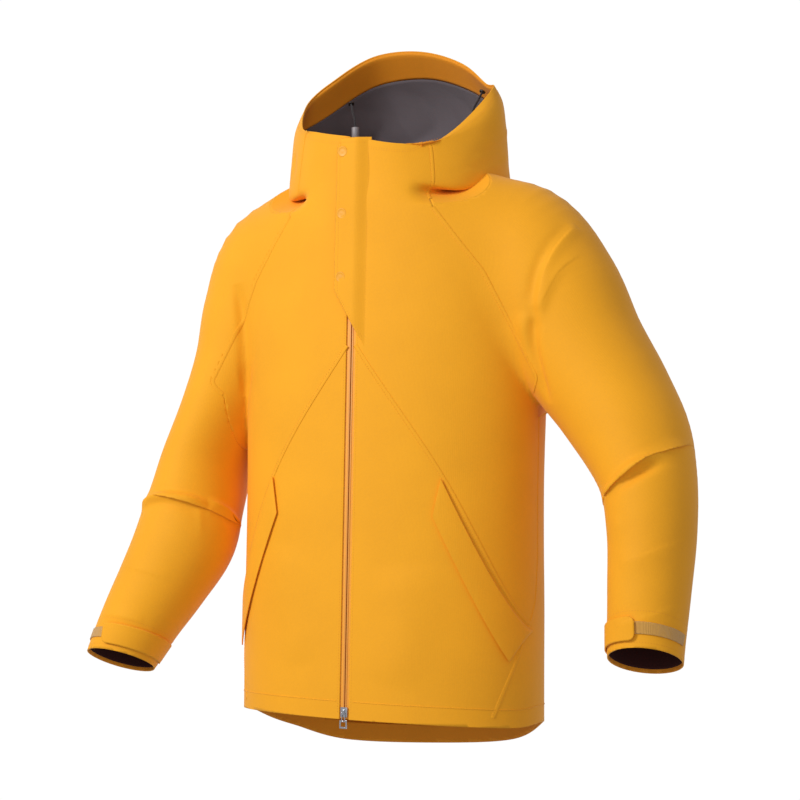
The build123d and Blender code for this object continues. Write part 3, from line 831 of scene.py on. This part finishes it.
# Loops round the hood from the neck seam up to the rim: points from the front to the back, on one side
HALF_LOOPS = [
    [(0, -118, -25), (68, -108, -24), (118, -82, -12), (118, -2, 34), (88, 45, 49), (50, 76, 54),
     (0, 85, 55)],
    [(0, -117.5, -8), (67, -108, -8), (97, -52, 1), (106, 4, 27), (94, 52, 42), (56, 90, 46), (0, 102, 46)],
    [(0, -117, 10), (65, -107, 10), (119, -64, -2), (142, 2, 12), (136, 62, 14), (84, 128, 13), (0, 150, 12)],
    [(0, -117, 30), (62, -106, 30), (121, -62, 24), (147, 8, 46), (136, 66, 46), (88, 138, 46),
     (0, 164, 44)],
    [(0, -117, 48), (60, -105, 50), (116, -58, 66), (148, 8, 88), (127, 74, 98), (82, 138, 104),
     (0, 164, 106)],
    [(0, -117, 58), (58, -105, 60), (110, -62, 78), (143, 10, 115), (120, 74, 137), (74, 124, 155),
     (0, 146, 165)],
    [(0, -117, 64), (57, -105, 65), (98, -73, 76), (133, 12, 139), (111, 50, 166), (64, 86, 202),
     (0, 97, 215)],
]
HOOD_COLUMNS = 192
HOOD_ROWS = 66


def catmull(points, at, closed=False):
    """A smooth curve (or rows of a surface) through points along the first axis, at fractional places."""
    count = len(points)
    index = np.clip(np.floor(at).astype(int), 0, count - (1 if closed else 2))
    t = (at - index).reshape([-1] + [1] * (points.ndim - 1))
    pick = (lambda i: points[i % count]) if closed else (lambda i: points[np.clip(i, 0, count - 1)])
    a, b, c, d = pick(index - 1), pick(index), pick(index + 1), pick(index + 2)
    return b + 0.5 * t * (c - a + t * (2 * a - 5 * b + 4 * c - d + t * (3 * (b - c) + d - a)))


def neck_angle(points):
    """The way from the neck's middle to each point: 0 in front, positive to the wearer's left."""
    return np.arctan2(points[:, 0], -(points[:, 1] + 8))


def hood_loops(turns):
    """Each loop's points at the given turns (degrees from the front, positive to the wearer's left)."""
    loops = []
    for half in HALF_LOOPS:
        half = np.array(half, float)
        ring = np.concatenate([half, half[-2:0:-1] * [-1, 1, 1]])
        loops.append(catmull(ring, (np.asarray(turns) % 360) / 30, closed=True))
    return np.array(loops)


def hood_surface(turns, first_row=None):
    """The hood and collar, from the neck seam up to the rim."""
    loops = hood_loops(turns)
    if first_row is None:
        # the lowest loop is the body's own neck edge
        angle = neck_angle(neck_edge)
        order = np.argsort(angle)
        wanted = neck_angle(loops[0])
        for k in range(3):
            loops[0][:, k] = np.interp(wanted, angle[order], neck_edge[order][:, k], period=2 * math.pi)
    else:
        loops[0] = first_row
    # the rim stands a little higher on the wearer's right
    for row, share in ((3, 0.15), (4, 0.45), (5, 0.8), (6, 1.0)):
        x = loops[row][:, 0]
        loops[row][:, 2] -= share * 0.2 * x * np.clip(1 - (np.abs(x) / 138) ** 4, 0, 1)
    rows = catmull(loops, np.linspace(0, len(loops) - 1, HOOD_ROWS + 1))
    # at the front the collar runs on from the chest without a bend
    turn = np.abs((np.asarray(turns) + 180) % 360 - 180)
    for j in np.nonzero(turn < 44)[0]:
        x, y, z = rows[0, j]
        below = surface_at(x, z - 12)
        lift = rows[:, j, 2] - z
        share = (1 - smoothstep(2, 60, lift)) * (1 - smoothstep(28, 44, turn[j]))
        rows[:, j, 1] += share * (y + (y - below[1]) / 12 * lift - rows[:, j, 1])
    flat = rows.reshape(-1, 3)
    for fold in HOOD_CREASES:
        flat = crease(flat, grid_normals(flat.reshape(rows.shape)).reshape(-1, 3), *fold)
    return flat.reshape(rows.shape)


def grid_faces(rows, columns, closed=False):
    """The quads of a grid of points; a closed grid's last column joins its first."""
    faces = []
    for i in range(rows - 1):
        for j in range(columns if closed else columns - 1):
            k = (j + 1) % columns
            faces.append((i * columns + j, i * columns + k, (i + 1) * columns + k, (i + 1) * columns + j))
    return np.array(faces)


def grid_mesh(name, grid, closed=False):
    return mesh_from(name, grid.reshape(-1, 3), grid_faces(len(grid), grid.shape[1], closed))


def grid_tree(grid, closed=False):
    """A grid as a surface to look up points on."""
    faces = grid_faces(len(grid), grid.shape[1], closed)
    return BVHTree.FromPolygons([tuple(v) for v in grid.reshape(-1, 3)], [tuple(map(int, f)) for f in faces])


def grid_normals(grid, closed=False):
    if closed:
        wide = np.concatenate([grid[:, -1:], grid, grid[:, :1]], 1)
        du = (wide[:, 2:] - wide[:, :-2])
    else:
        du = np.gradient(grid, axis=1)
    return unit(np.cross(du, np.gradient(grid, axis=0)))


def levelled(normals):
    """Directions turned most of the way to level."""
    return unit(normals * [1, 1, 0.2])


def resample_columns(grid, distances):
    """Rows of a grid at given distances from its last row, measured down each column."""
    steps = np.linalg.norm(np.diff(grid[::-1], axis=0), axis=2)
    length = np.concatenate([np.zeros((1, grid.shape[1])), np.cumsum(steps, axis=0)])
    out = np.empty((len(distances), grid.shape[1], 3))
    span = max(np.ptp(distances), 1e-6)
    for j in range(grid.shape[1]):
        reach = min(distances[-1], length[-1, j])
        wanted = distances[0] + (distances - distances[0]) * (reach - distances[0]) / span
        for k in range(3):
            out[:, j, k] = np.interp(wanted, length[:, j], grid[::-1][:, j, k])
    return out[::-1]


HOOD_CREASES = [
    ([(142, 36, 54), (133, -4, 36), (121, -38, 24), (108, -60, 18)], 7, 5, 0.5),
    ([(141, 30, 68), (131, -10, 50), (117, -44, 38)], 8, -5, -0.3),
    ([(140, 40, 92), (138, 10, 74), (130, -24, 66)], 7, 3.5, 0.4),
    ([(-146, 40, 66), (-138, 0, 46), (-122, -40, 34)], 8, -5, 0.3),
    ([(-148, 30, 48), (-138, -4, 34), (-118, -44, 24)], 8, 4, -0.4),
    ([(-120, -60, 60), (-112, -66, 40), (-106, -66, 24)], 7, -3, 0.3),
    ([(60, 146, 90), (0, 166, 80), (-60, 146, 92)], 16, -5, 0.0),
    ([(80, 136, 50), (10, 166, 40), (-70, 142, 52)], 14, 4, 0.0),
]

front = HOOD_COLUMNS // 2
hood = hood_surface(np.arange(HOOD_COLUMNS) * 360 / HOOD_COLUMNS - 180)


# the collar's columns start at the body's own points along the neck edge, and are welded to them
front_edge = body_neck[(body_neck[:, 1] < -60)]
front_edge = front_edge[np.argsort(front_edge[:, 0])]
front_edge = front_edge[np.concatenate([[True], np.diff(front_edge[:, 0]) > 0.02])]
fine = np.linspace(-75, 75, 601)
collar_turns = np.interp(neck_angle(front_edge), neck_angle(hood_loops(fine)[0]), fine)
collar_grid = hood_surface(collar_turns, front_edge)
collar = grid_mesh("collar", collar_grid)
with editing(body_shell) as work:
    work.from_mesh(collar.data)
    bmesh.ops.remove_doubles(work, verts=work.verts[:], dist=2e-5)
drop(collar)
body_shell.data.shade_smooth()
open_front(body_shell, FRONT_GAP)
dress(body_shell, SHELL, SHELL_THICKNESS,
      ["back_panel", "left_front_panel", "right_front_panel", "left_chest_panel", "right_chest_panel",
       "left_side_panel", "right_side_panel", "left_collar", "right_collar"], INSIDE)
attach(body_shell, "torso")

hood_grid = hood_surface(np.linspace(collar_turns[-1], 360 + collar_turns[0], 150))
hood_grid[:, 0], hood_grid[:, -1] = collar_grid[:, -1], collar_grid[:, 0]
hood_shell = dress(grid_mesh("hood_shell", hood_grid), SHELL, SHELL_THICKNESS,
                   ["hood_centre_panel", "hood_left_panel", "hood_right_panel"], INSIDE)
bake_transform(hood_shell)
half = int(round(collar_turns[-1] * HOOD_COLUMNS / 360))
collar_columns = np.arange(front - half, front + half + 1)
hood_columns = np.arange(front + half, front - half + HOOD_COLUMNS + 1) % HOOD_COLUMNS

facing_grid = resample_columns(hood, np.linspace(2.6, 46, 12))
facing_lift = np.full((12, 1, 1), -2.6)
facing_lift[-1] = -1.2
facing_grid = (facing_grid + levelled(grid_normals(facing_grid, True)) * facing_lift)[:, hood_columns]
facing = dress(grid_mesh("hood_facing_cloth", facing_grid), FACING, LINING_THICKNESS,
               ["hood_facing"])
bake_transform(facing)

# the lining hangs in loose ripples
lining_grid = resample_columns(hood, np.linspace(44, 230, 44))
angle = np.linspace(0, 2 * math.pi, HOOD_COLUMNS, endpoint=False)[None, :, None]
down = np.linspace(0, 1, 44)[::-1][:, None, None]
ripple = np.abs(np.sin(angle * 6 + 3 * np.sin(down * 5))) * 3.2
ripple = ripple + np.abs(np.sin(angle * 11 + down * 7)) * 2.0 - 2.4
lift = -4.2 - (2.6 + ripple) * np.sin(np.pi * np.clip(down, 0, 1))
lining_grid = (lining_grid + grid_normals(lining_grid, True) * lift)[:, hood_columns]
lining = dress(grid_mesh("hood_lining_cloth", lining_grid), LINING, LINING_THICKNESS,
               ["hood_lining"])
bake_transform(lining)

inner_grid = resample_columns(hood, np.linspace(4.5, 110, 24))
inner_grid = (inner_grid + levelled(grid_normals(inner_grid, True)) * -2.8)[:, collar_columns]
collar_inner = grid_mesh("collar_lining_cloth", inner_grid)
open_front(collar_inner, FRONT_GAP, -60)
dress(collar_inner, FACING, LINING_THICKNESS, ["collar_lining"])
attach(collar_inner, "torso")


# ---------------------------------------------------------------- seams

def strip_points(line, tree, step=4.0):
    """Points and normals on a surface below a line drawn near it."""
    line = np.array(line, float)
    length = np.linalg.norm(np.diff(line, axis=0), axis=1).sum()
    spots, normals = [], []
    for point in sample_curve(line, max(4, int(length / step))):
        spot, normal = tree.find_nearest(Vector(point))[:2]
        spots.append(np.array(spot))
        normals.append(np.array(normal))
    return np.array(spots), np.array(normals)


class Seams:
    """Lapped seams and their stitches on one piece of cloth, gathered into one mesh."""

    def __init__(self):
        self.verts, self.faces, self.kinds = [], [], []

    def add(self, verts, faces, kind):
        start = len(self.verts)
        self.verts.extend(list(verts))
        self.faces.extend([tuple(start + i for i in face) for face in faces])
        self.kinds.extend([kind] * len(faces))

    def ribbon(self, spots, normals, width=6.0, height=0.7):
        """A flat strip of cloth that stands up by its own thickness, with its edge on one side."""
        across = unit(np.cross(unit(np.gradient(spots, axis=0)), normals))
        half = 0.5 * width
        shape = [(-half, -0.5), (-half + 0.15, height * 0.75), (-half + 0.6, height),
                 (0.0, height * 0.72), (half - 0.8, height * 0.5), (half, -0.5)]
        rows = [spots + across * a + normals * h for a, h in shape]
        self.add(np.stack(rows, 1).reshape(-1, 3), grid_faces(len(spots), len(shape)), 0)

    def stitches(self, spots, normals, offset=0.0, lift=0.5, length=2.3, pitch=3.3, thick=0.28):
        """Thread that shows on top of the cloth as short raised dashes."""
        def read(values, where):
            return np.stack([np.interp(where, steps, values[:, k]) for k in range(3)], 1)

        steps = lengths_along(spots)
        across = unit(np.cross(np.gradient(spots, axis=0), normals))
        line = spots + across * offset + normals * lift
        at = np.arange(1.0, steps[-1] - length, pitch)
        for a, m, b, n, s in zip(read(line, at), read(line, at + 0.5 * length), read(line, at + length),
                                 read(normals, at) * thick, read(across, at) * thick):
            verts = [a - n, m + s, m + n, m - s, b - n]
            self.add(verts, [(0, 2, 1), (0, 3, 2), (4, 1, 2), (4, 2, 3)], 1)

    def lapped(self, line, tree, width=6.0, height=0.7):
        """One cloth edge laid over the other, with two rows of stitches."""
        spots, normals = strip_points(line, tree)
        self.ribbon(spots, normals, width, height)
        for offset in (-1.7, 1.7):
            self.stitches(spots, normals, offset, lift=height * 0.9)

    def topstitch(self, line, tree, offsets=(0.0,)):
        spots, normals = strip_points(line, tree)
        for offset in offsets:
            self.stitches(spots, normals, offset, lift=0.15)

    def build(self, name):
        piece = paint(mesh_from(name, np.array(self.verts), self.faces), SHELL, THREAD)
        piece.data.polygons.foreach_set("material_index", self.kinds)
        return piece


def front_line(points, way=1):
    """A line on the front (or back) of the body, drawn through (x, z) points."""
    spots = [surface_at(x, z, way) for x, z in sample_curve(points, 60)]
    return [spot for spot in spots if spot is not None]


def hem_ring(rise, count=160):
    """A line round the body, a little above its hem."""
    line = []
    for turn in np.linspace(0, 2 * math.pi, count):
        z = -680.0
        way = Vector((math.sin(turn), -math.cos(turn), 0))
        for _ in range(4):
            spot = GARMENT_TREE.ray_cast(Vector((0, 0, z)), way)[0]
            z = float(hem_z(spot.y, spot.x) + rise)
        line.append(np.array(spot))
    return line


LOWER_FRONT = [(6, -198), (118, -361), (206, -555)]
SIDE_LINE = [(212, -4, -285), (206, -6, -380), (206, -10, -480), (205, -20, -526), (202, -37, -554),
             (196, -56, -588), (186, -74, -624), (175, -88, -658)]

body_seams = Seams()
for side in (LEFT, RIGHT):
    for way in (1, -1):
        line = []
        for z in np.linspace(30, -256, 60):
            spot = surface_at(side * (float(raglan_x(z)) - 2.0), z, way)
            if spot is not None and z < neck_z(np.array([spot[1]]))[0] - 0.5:
                line.append(spot)
        body_seams.lapped(line if side * way > 0 else line[::-1], GARMENT_TREE)
    body_seams.lapped(front_line([(side * x, z) for x, z in LOWER_FRONT]), GARMENT_TREE)
    body_seams.lapped([(side * x, y, z) for x, y, z in SIDE_LINE], GARMENT_TREE, height=0.55)
hem_line = [p for p in hem_ring(22) if not (abs(p[0]) < 10 and p[1] < -100)]
spots, normals = strip_points(hem_line, GARMENT_TREE)
body_seams.ribbon(spots, normals, 2.4, 0.45)
body_seams.stitches(spots, normals)
for side in (LEFT, RIGHT):
    body_seams.topstitch(front_line([(side * 9.2, z) for z in (-656, -420, -210, -40)]), GARMENT_TREE)
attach(body_seams.build("body_seams"), "torso")

hood_tree = grid_tree(hood, closed=True)
hood_seams, collar_seams = Seams(), Seams()
for side in (LEFT, RIGHT):
    chin = collar_grid[5:-1, -1 if side == LEFT else 0]
    collar_seams.lapped(chin if side == RIGHT else chin[::-1], hood_tree, width=5.0, height=0.55)
    column = (front + side * HOOD_COLUMNS * 150 // 360) % HOOD_COLUMNS
    hood_seams.lapped(hood[3:-2, column], hood_tree, width=5.0)
rim = resample_columns(hood, np.array([0.0, 9.0]))[0]
hood_seams.topstitch(rim[hood_columns], hood_tree, offsets=(0.0, 2.2))
collar_rim = rim[collar_columns]
for part in (collar_rim[collar_rim[:, 0] < -9], collar_rim[collar_rim[:, 0] > 9]):
    collar_seams.topstitch(part, hood_tree, offsets=(0.0, 2.2))
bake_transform(hood_seams.build("hood_seams"))
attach(collar_seams.build("collar_seams"), "torso")

# ---------------------------------------------------------------- cuffs

def cuff_band(name, side, turns, rises, lifts, thickness, material, rounded=0.0):
    """A strip round a cuff, between two angles and two heights, its outer face lifted off the sleeve."""
    columns, rows = 60, 16
    grid = np.empty((rows, columns, 3))
    reach = abs(turns[1] - turns[0]) * 0.8
    for j, share in enumerate(np.linspace(0, 1, columns)):
        left = rounded - min(rounded, reach * (1 - share))
        inset = rounded - math.sqrt(max(rounded ** 2 - left ** 2, 0.04)) if rounded else 0.0
        turn = turns[0] + (turns[1] - turns[0]) * share
        for i, rise in enumerate(np.linspace(rises[0] + inset, rises[1] - inset, rows)):
            spot, normal = cuff_spot(side, turn, rise)
            grid[i, j] = spot + normal * (lifts[0] + (lifts[1] - lifts[0]) * share)
    piece = grid_mesh(name, grid)
    face = piece.data.polygons[len(piece.data.polygons) // 2]
    if np.array(face.normal) @ (np.array(face.center) / MM - np.array(CUFF[side])) < 0:
        piece.data.flip_normals()
    return thicken(paint(piece, material, material), thickness)


for side in (LEFT, RIGHT):
    name = NAMES[side]
    for node_name, body, slot, *shape in (
        # the cuff facing is a dark sheet of painted shade just inside each cuff
        ("_cuff_facing", "_forearm", "facing", (0, 360), (5, 42), (-1.7, -1.7), 0.7, CUFF_INSIDE_SHADE),
        ("_loop_strip", "_forearm", "loop_strip", (62, 172), (15, 28), (1.5, 1.5), 1.3, LOOPS),
        ("_hook_patch", "_cuff_tab", "hook_strip", (62, 88), (15, 28), (2.6, 2.6), 0.9, HOOKS),
        ("_cuff_tab", "_cuff_tab", "tab", (-30, 95), (8, 34), (1.8, 4.3), 1.6, SHELL, 7.0),
    ):
        piece = cuff_band(name + node_name + "_cloth", side, *shape)
        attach(piece, name + body)
        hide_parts(name + node_name)
    sleeve_seams = Seams()
    for rise in (6.0, 40.0):
        line = [cuff_spot(side, turn, rise)[0] for turn in np.linspace(0, 360, 70)]
        spots, normals = strip_points(line, GARMENT_TREE, step=3.0)
        sleeve_seams.stitches(spots, normals, lift=0.2)
    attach(sleeve_seams.build(name + "_cuff_seams"), name + "_forearm")


# ---------------------------------------------------------------- storm flap

flap_low, flap_high = np.array(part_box("storm_flap")) / MM
columns, rows = 28, 110
grid = np.empty((rows, columns, 3))
for j, x in enumerate(np.linspace(flap_low[0], flap_high[0], columns)):
    share = (flap_high[0] - x) / (flap_high[0] - flap_low[0])
    bottom = -206 + 78 * share
    top = flap_high[2] - 8 * (1 - smoothstep(-18.5, -16.5, x))
    z = np.linspace(bottom, top, rows)
    bow = x * x * (0.001 + 0.0032 * smoothstep(-60, 10, z))
    edge = np.minimum(np.minimum(x - flap_low[0], flap_high[0] - x), np.minimum(z - bottom, top - z))
    groove = 0.35 * np.exp(-((edge - 5) / 0.9) ** 2) + 0.8 * (1 - smoothstep(0, 2.2, edge))
    sewn = smoothstep(2.0, 23.0, x) * 6.3
    grid[:, j, 0] = x
    grid[:, j, 1] = front_y(z) + bow - 5.6 + groove * (x < 15) + sewn
    grid[:, j, 2] = z
flap_tree = grid_tree(grid)
flap = dress(grid_mesh("storm_flap_cloth", grid), SHELL, 1.9, ["storm_flap", "storm_flap_seam"])
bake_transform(flap)
flap_seams = Seams()
for line in (grid[3:-3, 3], grid[3:-3, -3], grid[3, 3:-3], grid[-4, 3:-3]):
    flap_seams.topstitch(line, flap_tree)
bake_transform(flap_seams.build("storm_flap_stitches"))


def lathe(name, profile, centre, axis, count=40):
    """A round piece from (radius, height) points, turned about an axis through a centre."""
    axis = unit(np.array(axis, float))
    first = unit(np.cross(axis, [1, 0, 0.01]))
    second = np.cross(axis, first)
    verts, faces = [], []
    for radius, height in profile:
        for k in range(count):
            turn = 2 * math.pi * k / count
            verts.append(centre + axis * height + radius * (first * math.cos(turn) + second * math.sin(turn)))
    for i in range(len(profile) - 1):
        for k in range(count):
            n = (k + 1) % count
            faces.append((i * count + k, i * count + n, (i + 1) * count + n, (i + 1) * count + k))
    faces.append(tuple(range(count))[::-1])
    faces.append(tuple(range((len(profile) - 1) * count, len(profile) * count)))
    return mesh_from(name, np.array(verts), faces)


CAP_PROFILE = [(6.7, -0.4), (6.6, 0.35), (6.2, 0.75), (5.6, 0.85), (5.0, 0.6), (4.5, 0.45), (2.0, 0.62),
               (0.1, 0.66)]
for number, z in enumerate((46, -32, -112)):
    cap = lathe("snap_cap_%d" % number, CAP_PROFILE, np.array([-14.0, front_y(z) - 5.0, z]), (0, -1, -0.04))
    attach(paint(cap, SNAP_PAINT), "storm_flap")
    if number == 0:
        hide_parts("snap_caps")


# ---------------------------------------------------------------- hardware and small cloth parts

def from_cad(node_name, material, width=0.3):
    """A piece with its node's own shape, its edges rounded to a width."""
    source = frame["nodes"][node_name]
    work = bmesh.new()
    work.from_mesh(source.data)
    bmesh.ops.remove_doubles(work, verts=work.verts[:], dist=2e-6)
    bmesh.ops.dissolve_limit(work, angle_limit=math.radians(0.6), verts=work.verts[:], edges=work.edges[:])
    mesh = bpy.data.meshes.new(node_name + "_shown")
    work.to_mesh(mesh)
    work.free()
    mesh.shade_smooth()
    piece = paint(link(node_name + "_shown", mesh), material)
    sharp = math.radians(34)
    if width:
        bevel = piece.modifiers.new("edges", "BEVEL")
        bevel.width = width * MM
        bevel.segments = 3
        bevel.limit_method = "ANGLE"
        bevel.angle_limit = sharp
        bevel.harden_normals = True
        bevel.use_clamp_overlap = True
    else:
        mesh.set_sharp_from_angle(angle=sharp)
    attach(piece, source["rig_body"])
    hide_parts(node_name)
    return piece


for node_name, material, slot, width in (
    ("zip_tapes", TAPE, "zip_tape", 0.15),
    ("zip_teeth", COIL, "zip_coil", 0.2),
    ("wind_flap", SHELL, "shell", 0.4),
    ("snap_studs", CHROME, "snap", 0.2),
    ("hang_loop", WEBBING, "webbing", 0.4),
    ("pocket_zip_tapes", TAPE, "zip_tape", 0.15),
    ("pocket_zip_coils", COIL, "zip_coil", 0.2),
    ("pocket_bags", MESH_LINING, "pocket_lining", 0),
    ("hood_eyelets", DARK_METAL, "eyelet", 0.2),
):
    from_cad(node_name, material, width)
for node_name in ("bottom_slider", "bottom_slider_pull", "top_slider", "top_slider_pull"):
    from_cad(node_name, CHROME)
for side in (LEFT, RIGHT):
    name = NAMES[side]
    from_cad(name + "_cord_lock", PLASTIC, 0.5)
    from_cad(name + "_cord_lock_button", PLASTIC, 0.4)
    spring = from_cad(name + "_cord_lock_spring", CHROME, 0)
    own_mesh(spring)
    from_cad(name + "_pocket_flap", SHELL, 0.6)
    from_cad(name + "_pocket_slider", CHROME)
    from_cad(name + "_pocket_pull", CHROME)


# ---------------------------------------------------------------- cords

CORD_ROUTE = [(98, 70, 148), (94, 65, 136), (88, 61, 124), (86, 59, 112)]


def cord_curve(side):
    """The elastic cord from its eyelet down to its lock."""
    curve = bpy.data.curves.new(NAMES[side] + "_hood_cord_line", "CURVE")
    curve.dimensions = "3D"
    curve.bevel_depth = 1.5 * MM
    curve.bevel_resolution = 6
    curve.use_fill_caps = True
    line = curve.splines.new("NURBS")
    line.points.add(len(CORD_ROUTE) - 1)
    for point, (x, y, z) in zip(line.points, CORD_ROUTE):
        point.co = (side * x * MM, y * MM, z * MM, 1)
    line.order_u = 3
    line.use_endpoint_u = True
    line.resolution_u = 12
    return paint(link(NAMES[side] + "_hood_cord_line", curve), CORD)


for side in (LEFT, RIGHT):
    name = NAMES[side]
    strand = cord_curve(side)
    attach(strand, "hood")
    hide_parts(name + "_hood_cord")
    x, y, z = CORD_ROUTE[0]


# ---------------------------------------------------------------- light and backdrop

def area_light(name, place, target, size, power):
    data = bpy.data.lights.new(name, "AREA")
    data.shape = "DISK"
    data.size = size
    data.energy = power
    lamp = link(name, data)
    lamp.location = place
    lamp.rotation_euler = (Vector(target) - Vector(place)).to_track_quat("-Z", "Y").to_euler()


def backdrop(distance=9000, reach=9500):
    """Soft light from all round, and a white screen far behind the jacket."""
    world = bpy.data.worlds.new("surroundings")
    world.use_nodes = True
    background = world.node_tree.nodes["Background"]
    background.inputs["Color"].default_value = (1, 1, 1, 1)
    background.inputs["Strength"].default_value = 0.42
    bpy.context.scene.world = world
    bpy.context.scene.view_settings.view_transform = "Standard"
    material = bpy.data.materials.new("white_screen")
    material.use_nodes = True
    tree = material.node_tree
    tree.nodes.clear()
    light = node(tree, "ShaderNodeEmission", Color=(1, 1, 1, 1), Strength=1.02)
    node(tree, "ShaderNodeOutputMaterial", Surface=light.outputs[0])
    away = np.array([-math.sin(VIEW_AZIMUTH), math.cos(VIEW_AZIMUTH), 0])
    aside = np.array([math.cos(VIEW_AZIMUTH), math.sin(VIEW_AZIMUTH), 0])
    middle = away * distance + [0, 0, VIEW_HEIGHT / MM]
    corners = [middle + aside * a * reach + np.array([0, 0, b * reach])
               for a, b in ((-1, -1), (1, -1), (1, 1), (-1, 1))]
    screen = mesh_from("white_screen", np.array(corners), [(0, 1, 2, 3)], smooth=False)
    paint(screen, material)


backdrop()
area_light("key", (-1.25, -2.6, 1.15), (0, 0, -0.3), 1.0, 62)
area_light("front", (0.9, -2.6, 0.6), (0, 0, -0.2), 1.4, 7)
